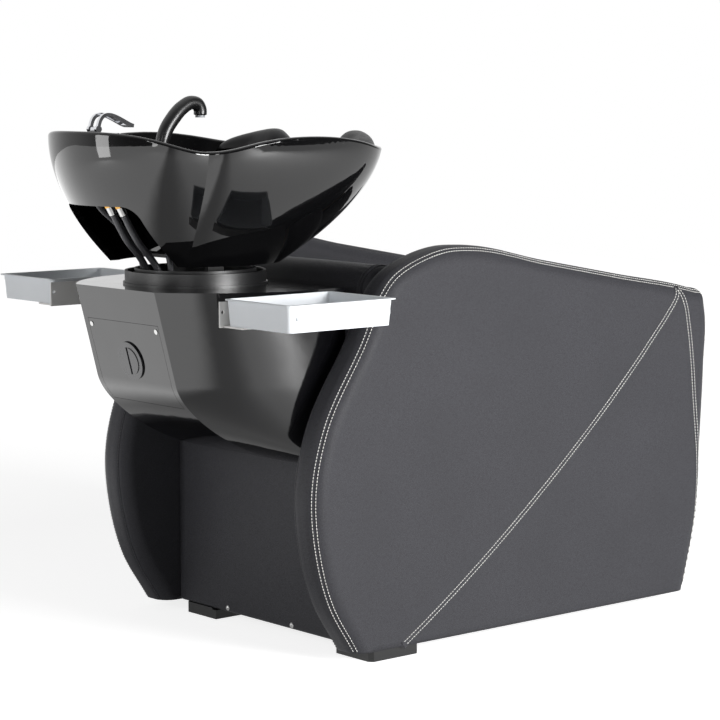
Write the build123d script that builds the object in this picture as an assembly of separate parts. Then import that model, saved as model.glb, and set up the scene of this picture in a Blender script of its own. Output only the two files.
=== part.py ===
from build123d import *
import math
import os

# Salon backwash unit: an upholstered seat between two padded side panels, with a tilting
# ceramic basin carried on a shroud at the rear. Millimetres, +X towards the client's feet,
# +Y to the client's left, +Z up, origin on the floor under the middle of the whole unit.

# Driving sizes of the body
overall_length = 1257.0
body_width = 640.0
panel_thickness = 75.0
panel_height = 694.0
panel_setback = 269.0
panel_rounding = 30.0
foot_height = 20.0
board = 18.0
seam_gap = 0.3
overrun = 40.0

rear_x = -overall_length / 2
front_x = overall_length / 2
inner_half = body_width / 2 - panel_thickness
panel_length = overall_length - panel_setback
panel_rear_x = front_x - panel_length

# The basin stands over a collar, and the collar over the shroud behind the back panel
basin_length = 602.0
basin_half_width = 250.0
basin_rear_reach = 260.0
collar_x = rear_x + basin_rear_reach
collar_to_back = 138.5
back_x = collar_x + collar_to_back


def save(name, shape):
    """Writes one piece under its own name."""
    export_step(shape, f"parts/{name}.step")


def block(x0, x1, y0, y1, z0, z1):
    """A box given by its low and high corner on each axis."""
    return Pos((x0 + x1) / 2, (y0 + y1) / 2, (z0 + z1) / 2) * Box(x1 - x0, y1 - y0, z1 - z0)


def rod_z(x, y, z0, z1, radius):
    """An upright cylinder from z0 to z1."""
    return Pos(x, y, (z0 + z1) / 2) * Cylinder(radius, z1 - z0)


def rod_y(x, z, y0, y1, radius):
    """A cylinder along Y from y0 to y1."""
    return Pos(x, (y0 + y1) / 2, z) * Rot(90, 0, 0) * Cylinder(radius, y1 - y0)


def rod_x(y, z, x0, x1, radius):
    """A cylinder along X from x0 to x1."""
    return Pos((x0 + x1) / 2, y, z) * Rot(0, 90, 0) * Cylinder(radius, x1 - x0)


def slab(face, y0, y1):
    """A face drawn on the XZ plane, carried along Y from y0 to y1."""
    return Pos(0, y0, 0) * extrude(face, amount=y1 - y0, dir=(0, 1, 0))


def polygon_slab(points, y0, y1):
    """A straight-sided XZ outline, carried along Y."""
    return slab(make_face(Plane.XZ * Polyline(*points, close=True)), y0, y1)


def hose(points, radius):
    """A tube along straight runs that are joined by arcs as large as the runs allow."""
    radii = []
    for before, here, after in zip(points, points[1:], points[2:]):
        run_in = Vector(*here) - Vector(*before)
        run_out = Vector(*after) - Vector(*here)
        turn = math.radians(run_in.get_angle(run_out))
        shorter = min(run_in.length, run_out.length)
        radii.append(hose_run_share * shorter / math.tan(turn / 2))
    path = FilletPolyline(*points, radius=radii)
    section = Plane(origin=path @ 0, z_dir=path % 0) * Circle(radius)
    tube = sweep(section, path=path)
    print("hose radii", [round(r) for r in radii], "length", round(path.length))
    return tube


hose_run_share = 0.45

# Side panels: a board core in a padded cover, bull-nosed all round but for the foot line.
# The outline's points are shares of the panel's length from its rear, and of its height.
panel_rear_shares = [
    (0.094, 0.0),
    (0.037, 0.13),
    (0.008, 0.267),
    (0.0, 0.419),
    (0.025, 0.565),
    (0.105, 0.757),
    (0.187, 0.937),
    (0.252, 0.978),
    (0.311, 0.996),
    (0.366, 0.996),
]
panel_corner_shares = [(0.952, 0.845), (0.986, 0.826), (1.0, 0.775)]
panel_front_shares = [(0.985, 0.452), (0.925, 0.0)]
core_inset = 34.0
core_thickness = 24.0


def panel_point(shares, inset):
    """A point of the side panel's outline, drawn in by inset on every side."""
    x = panel_rear_x + inset + shares[0] * (panel_length - 2 * inset)
    z = foot_height + inset + shares[1] * (panel_height - 2 * inset)
    return (x, z)


def panel_outline(inset):
    """The side panel's outline as one closed face on the XZ plane."""
    rear = [panel_point(s, inset) for s in panel_rear_shares]
    corner = [panel_point(s, inset) for s in panel_corner_shares]
    front = [panel_point(s, inset) for s in panel_front_shares]
    edges = [
        Spline(*rear),
        Line(rear[-1], corner[0]),
        ThreePointArc(*corner),
        ThreePointArc(corner[-1], front[0], front[1]),
        Line(front[1], rear[0]),
    ]
    return make_face(Curve() + [Plane.XZ * e for e in edges])


def side_panels():
    """Both side panels, mirror images of each other."""
    half_core = core_thickness / 2
    mid = inner_half + panel_thickness / 2
    core = slab(panel_outline(core_inset), mid - half_core, mid + half_core)
    pad = slab(panel_outline(0), inner_half, inner_half + panel_thickness)
    rounded = [
        e
        for e in pad.edges()
        if abs(e.bounding_box().size.Y) < seam_gap and e.center().Z > foot_height + seam_gap
    ]
    pad = fillet(rounded, panel_rounding) - core
    for name, flip in (("left", False), ("right", True)):
        save(f"side_panel_{name}_core", mirror(core, Plane.XZ) if flip else core)
        save(f"side_panel_{name}_pad", mirror(pad, Plane.XZ) if flip else pad)


# Feet: moulded blocks with a chamfered outer corner and a raised strip at the inner end.
# The right rear foot stands at the panel's corner, the other three a foot further inboard.
foot_length = 113.0
foot_width = 82.0
foot_chamfer = 7.0
foot_strip = 11.5
foot_strip_rise = 3.0
corner_foot_inset = 7.5
foot_inboard = 87.5
front_foot_setback = 88.0
frame_z = foot_height


def foot(x0, outer_y, side):
    """A foot whose rear face is at x0 and whose outer face is at outer_y, on one side."""
    inner_y = outer_y - side * foot_width
    y0, y1 = sorted((outer_y, inner_y))
    body = block(x0, x0 + foot_length, y0, y1, 0, foot_height)
    uprights = body.edges().filter_by(Axis.Z)
    outer = [e for e in uprights if abs(e.center().Y - outer_y) < seam_gap]
    body = chamfer(outer, foot_chamfer)
    s0, s1 = sorted((inner_y, inner_y - side * foot_strip))
    return body + block(x0, x0 + foot_length, s0, s1, 0, foot_height - foot_strip_rise)


def feet():
    """Four feet, each a node of its own."""
    corner_y = body_width / 2 - corner_foot_inset
    inboard_y = corner_y - foot_inboard
    front_foot_x = front_x - front_foot_setback - foot_length
    save("rear_foot_right", foot(back_x, -corner_y, -1))
    save("rear_foot_left", foot(back_x, inboard_y, 1))
    save("front_foot_right", foot(front_foot_x, -inboard_y, -1))
    save("front_foot_left", foot(front_foot_x, inboard_y, 1))


# Base frame: a welded ladder of rectangular steel tube that stands on the feet
tube_width = 40.0
tube_depth = 30.0
tube_wall = 2.5
frame_front_setback = 70.0
cross_share = 0.5


def tube_x(x0, x1, y, z0):
    """A rectangular tube along X."""
    outer = block(x0, x1, y - tube_width / 2, y + tube_width / 2, z0, z0 + tube_depth)
    half = tube_width / 2 - tube_wall
    return outer - block(x0, x1, y - half, y + half, z0 + tube_wall, z0 + tube_depth - tube_wall)


def tube_y(x, y0, y1, z0):
    """A rectangular tube along Y."""
    outer = block(x - tube_width / 2, x + tube_width / 2, y0, y1, z0, z0 + tube_depth)
    half = tube_width / 2 - tube_wall
    return outer - block(x - half, x + half, y0, y1, z0 + tube_wall, z0 + tube_depth - tube_wall)


def base_frame():
    """Two long rails joined by three cross members, with ears out to the side panels."""
    x0 = back_x + board
    x1 = front_x - frame_front_setback
    rail_y = inner_half - tube_width / 2
    inner = rail_y - tube_width / 2
    rails = tube_x(x0, x1, rail_y, frame_z) + tube_x(x0, x1, -rail_y, frame_z)
    for x in (x0 + tube_width / 2, x0 + cross_share * (x1 - x0), x1 - tube_width / 2):
        rails += tube_y(x, -inner, inner, frame_z)
    save("base_frame", rails)


# Back panel: an upholstered board between the side panels, on the rear of the frame
back_panel_top = 600.0
cap_y = 94.5
cap_z = foot_height + 8.5
cap_radius = 5.5
cap_height = 3.5
waste_z = 430.0


def back_panel():
    """The back panel with the waste pipe's hole, and the two domed caps near its foot."""
    panel = block(back_x, back_x + board, -inner_half, inner_half, foot_height, back_panel_top)
    panel -= rod_x(0, waste_z, back_x - overrun, back_x + board + overrun, waste_radius + seam_gap)
    save("back_panel", panel)
    dome_radius = (cap_radius**2 + cap_height**2) / (2 * cap_height)
    caps = []
    for y in (-cap_y, cap_y):
        ball = Pos(back_x + dome_radius - cap_height, y, cap_z) * Sphere(dome_radius)
        caps.append(ball & rod_x(y, cap_z, back_x - overrun, back_x, cap_radius))
    save("back_panel_caps", Compound(children=caps))


# Seat: a deck over the frame's uprights, a crowned cushion and an apron in front
seat_deck_z = 330.0
seat_front_x = front_x - 62.0
seat_thickness = 110.0
seat_crown = 14.0
seat_side_gap = 1.5
upright_width = 40.0
cushion_rounding = 18.0
draw_height_shares = (0.0, 0.45, 0.85, 1.0)
draw_width_shares = (0.97, 1.0, 0.985, 0.93)

# Backrest: a reclined board, its cushion with sewn channels, and a roll along the top
backrest_lean = 28.0
backrest_length = 255.0
backrest_board = 15.0
backrest_cushion_thickness = 70.0
backrest_foot_x = back_x + 216.0
backrest_foot_z = seat_deck_z + board + backrest_board * math.sin(math.radians(backrest_lean))
channel_count = 3
channel_depth = 6.0
channel_radius = 7.0
roll_radius = 48.0
roll_offset = 20.0
deck_margin = 10.0
deck_rear_x = backrest_foot_x - backrest_board - deck_margin
cushion_rear_x = backrest_foot_x + backrest_cushion_thickness


def crowned_cushion(length, width, thickness, crown):
    """A cushion lying at the origin: crowned on top, with sides drawn in to the foot."""
    sections = []
    for height, size in zip(draw_height_shares, draw_width_shares):
        outline = RectangleRounded(length * size, width * size, cushion_rounding)
        sections.append(Plane.XY.offset(height * (thickness - crown)) * outline)
    body = loft(sections, ruled=True)
    top_length = length * draw_width_shares[-1]
    top_width = width * draw_width_shares[-1]
    radius = (top_width**2 / 4 + crown**2) / (2 * crown)
    top = Pos(0, 0, thickness - radius) * Rot(0, 90, 0) * Cylinder(radius, top_length)
    cap = Pos(0, 0, thickness - crown / 2) * Box(top_length, top_width, crown)
    return body + (cap & top)


def seat():
    """Seat deck, seat cushion, front apron and the two deck supports."""
    width = 2 * (inner_half - seat_side_gap)
    deck_top = seat_deck_z + board
    save("seat_deck", block(deck_rear_x, seat_front_x, -inner_half, inner_half, seat_deck_z, deck_top))
    cushion = crowned_cushion(seat_front_x - cushion_rear_x, width, seat_thickness, seat_crown)
    save("seat_cushion", Pos((seat_front_x + cushion_rear_x) / 2, 0, deck_top + seam_gap) * cushion)
    leg_foot = frame_z + tube_depth
    apron = block(seat_front_x - board, seat_front_x, -inner_half, inner_half, leg_foot, seat_deck_z)
    save("front_apron", apron)
    for name, side in (("left", 1), ("right", -1)):
        y = side * (inner_half - tube_width / 2)
        y0, y1 = y - upright_width / 2, y + upright_width / 2
        leg = block(deck_rear_x, deck_rear_x + upright_width, y0, y1, leg_foot, seat_deck_z)
        save(f"seat_upright_{name}", leg)


def backrest():
    """Backrest board and channelled cushion on the lean, and the head roll above them."""
    half = inner_half - seat_side_gap
    lean = Pos(backrest_foot_x, 0, backrest_foot_z) * Rot(0, -backrest_lean, 0)
    board_piece = block(-backrest_board, 0, -inner_half, inner_half, 0, backrest_length)
    save("backrest_board", lean * board_piece)
    flat = crowned_cushion(backrest_length, 2 * half, backrest_cushion_thickness, seat_crown)
    cushion = Pos(0, 0, backrest_length / 2) * Rot(0, 90, 0) * flat
    pitch = backrest_length / (channel_count + 1)
    front = backrest_cushion_thickness + channel_radius - channel_depth
    for i in range(channel_count):
        cushion -= rod_y(front, (i + 1) * pitch, -inner_half, inner_half, channel_radius)
    save("backrest_cushion", lean * Pos(seam_gap, 0, 0) * cushion)
    roll = rod_y(roll_offset, backrest_length + roll_radius + seam_gap, -half, half, roll_radius)
    roll = fillet(roll.edges().filter_by(GeomType.CIRCLE), cushion_rounding)
    save("head_roll", lean * roll)


# Shroud: a moulded shell behind the back panel. Its level sections are D-shaped, with a flat
# rear facet between two bulging lobes, and shrink towards the foot like a hull.
shroud_top_z = 646.0
shroud_knee_z = 486.0
shroud_foot_z = 328.0
shroud_depth = 311.5
facet_half = 117.0
facet_lean = 15.0
shroud_wall = 5.0
lobe_reach_share = 0.78
lobe_start_share = 0.27
shroud_side_gap = 1.0
hull_level_shares = [0.0, 0.2, 0.42, 0.62, 0.78, 0.9, 0.965]
hull_power = 1.5
knee_depth = shroud_depth - (shroud_top_z - shroud_knee_z) * math.tan(math.radians(facet_lean))


def shroud_depth_at(z):
    """How far the shroud reaches behind the back panel at a height."""
    if z >= shroud_knee_z:
        return shroud_depth - (shroud_top_z - z) * math.tan(math.radians(facet_lean))
    drop = (shroud_knee_z - z) / (shroud_knee_z - shroud_foot_z)
    return knee_depth * (1 - drop**hull_power) ** (1 / hull_power)


def shroud_section(z, inset):
    """One level D-shaped section, drawn in by inset everywhere but at the back panel."""
    depth = shroud_depth_at(z) - inset
    tail = back_x - depth
    side = inner_half - shroud_side_gap - inset
    flat = facet_half - inset * lobe_start_share
    start = tail + depth * lobe_start_share
    end = tail + depth * lobe_reach_share
    edges = [
        Line((back_x, -side), (end, -side)),
        Bezier((end, -side), (start, -side), (tail, -flat)),
        Line((tail, -flat), (tail, flat)),
        Bezier((tail, flat), (start, side), (end, side)),
        Line((end, side), (back_x, side)),
        Line((back_x, side), (back_x, -side)),
    ]
    return Plane.XY.offset(z) * make_face(Curve() + edges)


def shroud_hull(inset, top_z):
    """The shroud's outer form, or its hollow where inset is the wall."""
    drop = shroud_knee_z - shroud_foot_z
    levels = [shroud_knee_z - share * drop for share in hull_level_shares]
    lower = loft([shroud_section(z, inset) for z in levels])
    upper = loft([shroud_section(z, inset) for z in (shroud_knee_z, top_z)], ruled=True)
    return lower + upper


# Access panel in the rear facet, with its two screws and its coin-turned lock
access_half = 104.0
access_top_z = 587.0
access_foot_z = 442.0
access_thickness = 3.0
access_gap = 0.6
access_lip = 16.0
access_screw_y = 96.0
access_screw_z = 577.0
access_screw_radius = 4.5
lock_z = 519.0
escutcheon_radius = 34.5
escutcheon_thickness = 3.0
barrel_radius = 24.5
barrel_proud = 1.2
barrel_length = 16.0
barrel_gap = 0.08
slot_width = 5.0
slot_depth = 1.6
cam_length = 62.0
cam_width = 14.0
cam_thickness = 3.0


def facet_plane(z, y):
    """A plane on the rear facet, with its Z axis pointing out of the facet."""
    lean = math.radians(facet_lean)
    normal = (-math.cos(lean), 0, -math.sin(lean))
    return Plane(origin=(back_x - shroud_depth_at(z), y, z), x_dir=(0, 1, 0), z_dir=normal)


def facet_disc(z, y, low, high, radius):
    """A disc square to the rear facet, from low to high above it."""
    return facet_plane(z, y) * Pos(0, 0, (low + high) / 2) * Cylinder(radius, high - low)


def access_prism(margin, inward):
    """The block that cuts the access panel's outline out of the facet."""
    x0 = back_x - shroud_depth - overrun
    x1 = back_x - inward
    half = access_half + margin
    return block(x0, x1, -half, half, access_foot_z - margin, access_top_z + margin)


def shroud():
    """The shroud with its collar hole and access opening, and everything on its rear facet."""
    outer = shroud_hull(0, shroud_top_z)
    shell = outer - shroud_hull(shroud_wall, shroud_top_z - shroud_wall)
    shell -= rod_z(collar_x, 0, shroud_top_z - overrun, shroud_top_z + overrun, collar_bore)
    skin = outer - shroud_hull(access_thickness, shroud_top_z)
    pocket_skin = outer - shroud_hull(access_thickness + seam_gap, shroud_top_z)
    shell -= pocket_skin & access_prism(access_gap, collar_to_back)
    window = access_prism(-access_lip, collar_to_back)
    shell -= window
    save("shroud", shell)

    panel = skin & access_prism(0, collar_to_back)
    panel -= facet_disc(lock_z, 0, -overrun, overrun, barrel_radius + barrel_gap)
    screw_reach = access_thickness + shroud_wall
    screws = []
    for y in (-access_screw_y, access_screw_y):
        head = facet_disc(access_screw_z, y, -screw_reach / 4, screw_reach / 8, access_screw_radius)
        panel -= facet_disc(access_screw_z, y, -screw_reach / 4, overrun, access_screw_radius)
        screws.append(head)
    save("access_panel", panel)
    save("access_panel_screws", Compound(children=screws))

    ring = facet_disc(lock_z, 0, 0, escutcheon_thickness, escutcheon_radius)
    ring -= facet_disc(lock_z, 0, -overrun, overrun, barrel_radius + barrel_gap)
    save("lock_escutcheon", ring)
    face = escutcheon_thickness + barrel_proud
    barrel = facet_disc(lock_z, 0, -barrel_length, face, barrel_radius)
    slot = facet_plane(lock_z, 0) * Pos(0, 0, face) * Box(slot_width, 2 * barrel_radius, 2 * slot_depth)
    save("lock_barrel", barrel - slot)
    cam_low = -barrel_length - cam_thickness
    arm = Box(cam_width, cam_length + cam_width, cam_thickness)
    cam = Pos(0, cam_length / 2, cam_low + cam_thickness / 2) * arm
    save("lock_cam", facet_plane(lock_z, 0) * cam)


# Collar: an outer ring on the shroud's top and a taller inner ring round the hoses
collar_radius = 124.0
collar_wall = 5.0
collar_top_z = 670.0
collar_flange = 3.0
collar_flange_height = 4.0
inner_ring_radius = 107.0
inner_ring_top_z = 674.0
collar_bore = 98.0


def ring_z(x, z0, z1, radius, bore):
    """An upright ring."""
    return rod_z(x, 0, z0, z1, radius) - rod_z(x, 0, z0, z1, bore)


def collar():
    """The two collar rings."""
    foot_z = shroud_top_z + collar_flange_height
    bore = collar_radius - collar_wall
    outer = ring_z(collar_x, shroud_top_z, collar_top_z, collar_radius, bore)
    outer += ring_z(collar_x, shroud_top_z, foot_z, collar_radius + collar_flange, bore)
    save("collar_outer_ring", outer)
    inner_bore = inner_ring_radius - collar_wall
    inner = ring_z(collar_x, shroud_top_z, inner_ring_top_z, inner_ring_radius, inner_bore)
    save("collar_inner_ring", inner)


# Basin: a ceramic shell lofted from a round foot to a waisted rim. The plan's points are
# shares of the basin's length from its rear and of its half width, from the rear middle to
# the front middle. Both curves end in the crease between the plumbing shell and the bowl.
basin_foot_z = 685.0
basin_side_height = 215.0
basin_loft_top = 935.0
basin_foot_radius = 150.0
basin_wall = 13.0
rim_rounding = 5.0
bulge_power = 1.85
rear_plan_shares = [(0.0, 0.0), (0.034, 0.36), (0.096, 0.6), (0.165, 0.73), (0.24, 0.79)]
front_plan_shares = [
    (0.285, 0.89), (0.37, 0.965), (0.5, 1.0), (0.68, 0.99), (0.83, 0.87), (0.945, 0.53), (1.0, 0.0),
]
crease_foot_turn = 11.0
basin_level_shares = [0.0, 0.12, 0.3, 0.5, 0.75, 1.0]
rim_place_shares = [0.0, 0.1, 0.24, 0.35, 0.5, 0.656, 0.766, 0.84, 0.93, 1.0]
rim_height_shares = [1.07, 1.02, 0.915, 0.975, 1.025, 1.01, 0.965, 0.93, 0.93, 0.93]
deck_height_share = 0.85
deck_front_share = 0.32
bowl_slope_share = 0.07
bowl_floor_z = 712.0
under_depth = 15.0
arch_half = 100.0
arch_top_z = 789.0
arch_rounding = 22.0
neck_half = 112.0
neck_z = 838.0
neck_reach = 110.0

deck_z = basin_foot_z + deck_height_share * basin_side_height
basin_front_x = rear_x + basin_length
neck_crest_z = basin_foot_z + rim_height_shares[-1] * basin_side_height


def plan_polar(shares):
    """A plan point as its angle and distance from the collar's axis."""
    x = rear_x + shares[0] * basin_length - collar_x
    y = shares[1] * basin_half_width
    return math.atan2(y, x), math.hypot(x, y)


def bulge(z):
    """How far the shell has opened at a height: 0 at the foot circle, 1 at the rim."""
    rise = min(1.0, max(0.0, (z - basin_foot_z) / basin_side_height))
    return 1 - (1 - rise) ** bulge_power


def basin_section(z, inset):
    """One level section: a rear and a front curve that meet at the two creases."""
    opened = bulge(z)

    def place(shares, side):
        """One point of the section, on the side given by -1 or 1."""
        angle, reach = plan_polar(shares)
        crease_angle = plan_polar(rear_plan_shares[-1])[0]
        near_crease = 1 - abs(angle - crease_angle) / crease_angle
        angle += math.radians(crease_foot_turn) * (1 - opened) * max(0.0, near_crease)
        if shares in (rear_plan_shares[0], front_plan_shares[-1]):
            angle = plan_polar(shares)[0]
        radius = basin_foot_radius + (reach - basin_foot_radius) * opened - inset
        return (collar_x + radius * math.cos(angle), side * radius * math.sin(angle))

    rear_left = [place(s, 1) for s in rear_plan_shares]
    rear_right = [place(s, -1) for s in rear_plan_shares]
    front_left = [place(s, 1) for s in front_plan_shares]
    front_right = [place(s, -1) for s in front_plan_shares]
    rear = Spline(*rear_right[::-1], *rear_left[1:])
    front = Spline(rear_left[-1], *front_left, *front_right[-2::-1], rear_right[-1])
    return Plane.XY.offset(z) * make_face(Curve() + [rear, front])


def basin_form(inset, foot_z, top_z):
    """The basin's outer form between two heights, drawn in by inset."""
    levels = [foot_z + s * (basin_foot_z + basin_side_height - foot_z) for s in basin_level_shares]
    body = loft([basin_section(z, inset) for z in levels])
    return body + extrude(basin_section(levels[-1], inset), amount=top_z - levels[-1])


def rim_points(places, heights, lift):
    """Points of a line on the XZ plane that follows the rim, raised by lift."""
    xs = [rear_x + share * basin_length for share in places]
    return [(x, basin_foot_z + share * basin_side_height + lift) for x, share in zip(xs, heights)]


def above_line(points):
    """Everything above a wavy line, over the basin's whole width."""
    first = (points[0][0] - overrun, points[0][1])
    last = (points[-1][0] + overrun, points[-1][1])
    sky = basin_loft_top + overrun
    edges = [
        Line(first, points[0]),
        Spline(*points),
        Line(points[-1], last),
        Line(last, (last[0], sky)),
        Line((last[0], sky), (first[0], sky)),
        Line((first[0], sky), first),
    ]
    face = make_face(Curve() + [Plane.XZ * e for e in edges])
    return slab(face, -basin_half_width - overrun, basin_half_width + overrun)


def neck_radius():
    """The radius of the neck recess, from its width and depth at the horns."""
    depth = neck_crest_z - neck_z
    return (neck_half**2 + depth**2) / (2 * depth)


def neck_rod(radius):
    """A cylinder along the neck recess's own axis."""
    return rod_x(0, neck_z + neck_radius(), basin_front_x - neck_reach, basin_front_x + overrun, radius)


def deck_block(inset, top_z):
    """The block under the rear deck, behind the bowl's sloping rear wall."""
    x_deck = rear_x + deck_front_share * basin_length - inset
    x_floor = x_deck + bowl_slope_share * basin_length
    points = [
        (rear_x - overrun, basin_foot_z - overrun),
        (rear_x - overrun, top_z),
        (x_deck, top_z),
        (x_floor, bowl_floor_z - inset),
        (x_floor, basin_foot_z - overrun),
    ]
    return polygon_slab(points, -basin_half_width, basin_half_width)


def basin():
    """The one-piece ceramic basin: bowl, rear deck, plumbing shell, arch and neck recess."""
    rim = rim_points(rim_place_shares, rim_height_shares, 0)
    body = basin_form(0, basin_foot_z, basin_loft_top) - above_line(rim)
    hollow = basin_form(basin_wall, bowl_floor_z, basin_loft_top)
    body -= hollow - deck_block(0, deck_z)
    rim_faces = [face for face in body.faces() if face.bounding_box().min.Z > deck_z + rim_rounding]
    body = fillet([edge for face in rim_faces for edge in face.edges()], rim_rounding)
    under = basin_form(basin_wall, basin_foot_z, basin_loft_top)
    body -= under & deck_block(basin_wall, deck_z - basin_wall)
    pocket_top = basin_foot_z + under_depth
    pocket_radius = basin_foot_radius - basin_wall
    body -= rod_z(collar_x, 0, basin_foot_z - overrun, pocket_top, pocket_radius)
    arch_face = Plane.YZ * Pos(0, arch_top_z - basin_foot_radius) * RectangleRounded(
        2 * arch_half, 2 * basin_foot_radius, arch_rounding
    )
    arch = Pos(rear_x - overrun, 0, 0) * extrude(arch_face, amount=basin_length)
    body -= arch & deck_block(basin_wall, deck_z)
    body -= neck_rod(neck_radius())
    body -= rod_z(drain_x, 0, basin_foot_z, bowl_floor_z + overrun, tail_radius + drain_gap)
    body -= rod_z(mixer_x, 0, deck_z - overrun, deck_z + overrun, mixer_shank_radius + drain_gap)
    body -= holder_tool(holder_radius, -overrun, overrun)
    save("basin", body)


# Drain in the bowl's floor
drain_x = collar_x + 42.0
drain_gap = 0.3
flange_radius = 34.0
flange_thickness = 5.0
tail_radius = 19.0
tail_foot_z = 655.0
tail_wall = 2.0
drain_nut_height = 8.0
strainer_radius = 27.0
strainer_thickness = 2.0
strainer_knob_radius = 5.0
strainer_knob = 9.0
strainer_holes = 8
strainer_hole_radius = 3.0
strainer_gap = 0.08


def drain():
    """The chrome waste: a flange and tail clamped by a nut, with a lift-out strainer."""
    lip_z = bowl_floor_z + flange_thickness
    seat_z = lip_z - strainer_thickness
    waste = rod_z(drain_x, 0, bowl_floor_z, lip_z, flange_radius)
    waste += rod_z(drain_x, 0, tail_foot_z, lip_z, tail_radius)
    waste -= rod_z(drain_x, 0, tail_foot_z, lip_z, tail_radius - tail_wall)
    waste -= rod_z(drain_x, 0, seat_z, lip_z, strainer_radius + strainer_gap)
    save("drain_waste", waste)
    nut_z = basin_foot_z + under_depth - drain_nut_height
    nut = Pos(drain_x, 0, nut_z) * extrude(RegularPolygon(flange_radius, 6), amount=drain_nut_height)
    save("drain_nut", nut - rod_z(drain_x, 0, tail_foot_z, lip_z, tail_radius + strainer_gap))
    strainer = rod_z(drain_x, 0, seat_z, lip_z, strainer_radius)
    strainer += rod_z(drain_x, 0, lip_z, lip_z + strainer_knob, strainer_knob_radius)
    ring = (tail_radius - tail_wall + strainer_knob_radius) / 2
    for i in range(strainer_holes):
        angle = math.radians(360 / strainer_holes * i)
        x = drain_x + ring * math.cos(angle)
        strainer -= rod_z(x, ring * math.sin(angle), seat_z, lip_z, strainer_hole_radius)
    save("strainer", strainer)


# Tilt gear: a bracket on the back panel carries an axle, and the axle the basin's saddle
tilt_z = 650.0
plate_z = 590.0
plate_thickness = 8.0
plate_half = 75.0
plate_margin = 8.0
gusset_drop = 110.0
cheek_y = 62.0
cheek_thickness = 8.0
axle_radius = 9.0
axle_gap = 0.05
lug_gap = 2.0
lug_thickness = 10.0
lug_radius = 17.0
saddle_thickness = 6.0
saddle_half_x = 74.0
saddle_half_y = 62.0
axle_head = 4.0
axle_head_radius = 14.0


def lug(y0, y1, radius, end_z):
    """A lug with a round end about the tilt axle, carried up or down to end_z."""
    z0, z1 = sorted((tilt_z, end_z))
    stem = block(collar_x - radius, collar_x + radius, y0, y1, z0, z1)
    return stem + rod_y(collar_x, tilt_z, y0, y1, radius)


def tilt_gear():
    """Bracket, axle and saddle of the tilt."""
    face_x = back_x - plate_thickness
    tail = collar_x - lug_radius - plate_margin
    bracket = block(tail, back_x, -plate_half, plate_half, plate_z, plate_z + plate_thickness)
    bracket -= rod_z(drain_x, 0, plate_z - overrun, plate_z + overrun, waste_radius + plate_margin)
    bracket += block(face_x, back_x, -plate_half, plate_half, plate_z - gusset_drop, plate_z)
    for side in (-1, 1):
        y0, y1 = sorted((side * cheek_y, side * (cheek_y + cheek_thickness)))
        gusset = [(face_x, plate_z), (tail, plate_z), (face_x, plate_z - gusset_drop)]
        bracket += polygon_slab(gusset, y0, y1)
        bracket += lug(y0, y1, lug_radius, plate_z + plate_thickness)
    bracket -= rod_y(collar_x, tilt_z, -plate_half, plate_half, axle_radius)
    save("tilt_bracket", bracket)

    half = cheek_y + cheek_thickness
    axle = rod_y(collar_x, tilt_z, -half, half, axle_radius)
    for side in (-1, 1):
        y0, y1 = sorted((side * half, side * (half + axle_head)))
        axle += rod_y(collar_x, tilt_z, y0, y1, axle_head_radius)
    save("tilt_axle", axle)

    top = basin_foot_z + under_depth
    low = top - saddle_thickness
    saddle_x0, saddle_x1 = collar_x - saddle_half_x, collar_x + saddle_half_x
    saddle = block(saddle_x0, saddle_x1, -saddle_half_y, saddle_half_y, low, top)
    for side in (-1, 1):
        outer = cheek_y - lug_gap
        y0, y1 = sorted((side * outer, side * (outer - lug_thickness)))
        saddle += lug(y0, y1, lug_radius, low)
    saddle -= rod_y(collar_x, tilt_z, -cheek_y, cheek_y, axle_radius + axle_gap)
    saddle -= rod_z(drain_x, 0, low - overrun, top + overrun, flange_radius + lug_gap)
    save("tilt_saddle", saddle)


# Neck pad: a soft saddle over the front rim, with two horns that taper along the rim
pad_cover = 8.0
pad_thickness = 14.0
pad_skirt = 12.0
pad_start_share = 0.825
pad_place_shares = [0.82, 0.87, 0.925, 1.02]
pad_top_shares = [0.935, 1.01, 1.06, 1.06]
pad_foot_shares = [0.92, 0.895, 0.885, 0.885]


def neck_pad():
    """The neck pad: a band over both faces of the rim wall, cut out for the neck."""
    band = basin_form(-pad_cover, bowl_floor_z, basin_loft_top)
    band -= basin_form(basin_wall + pad_cover, bowl_floor_z, basin_loft_top)
    front = rear_x + pad_start_share * basin_length
    reach = basin_half_width + overrun
    band &= block(front, basin_front_x + overrun, -reach, reach, bowl_floor_z, basin_loft_top)
    arms = band - above_line(rim_points(pad_place_shares, pad_top_shares, 0))
    arms &= above_line(rim_points(pad_place_shares, pad_foot_shares, 0))
    middle = band & neck_rod(neck_radius() + pad_skirt)
    middle -= above_line(rim_points(pad_place_shares, pad_top_shares, 0))
    pad = arms + middle
    pad -= neck_rod(neck_radius() - pad_thickness)
    wall = basin_form(-seam_gap, bowl_floor_z, basin_loft_top)
    wall -= basin_form(basin_wall + seam_gap, bowl_floor_z, basin_loft_top)
    wall -= above_line(rim_points(rim_place_shares, rim_height_shares, seam_gap))
    wall -= neck_rod(neck_radius() - seam_gap)
    save("neck_pad", pad - wall)


# Mixer on the rear deck: body, cap that turns, and a looped lever hinged at the cap's rear
mixer_x = rear_x + 76.0
mixer_body_radius = 23.0
mixer_body_height = 36.0
mixer_flange_radius = 27.0
mixer_flange = 4.0
mixer_shank_radius = 16.5
mixer_shank_drop = 30.0
mixer_gap = 0.3
cap_disc = 7.0
tongue_half = 8.0
tongue_length = 8.0
lever_bar = 6.0
lever_hinge_reach = 26.0
lever_hinge_rise = 14.0
lever_crest_rise = 38.0
lever_crest_reach = 9.0
lever_tip_rise = 19.0
lever_tip_reach = 46.0
lever_shoulder_rise = 33.0
lever_shoulder_reach = 14.0
pivot_radius = 2.5
pivot_gap = 0.05

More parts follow.
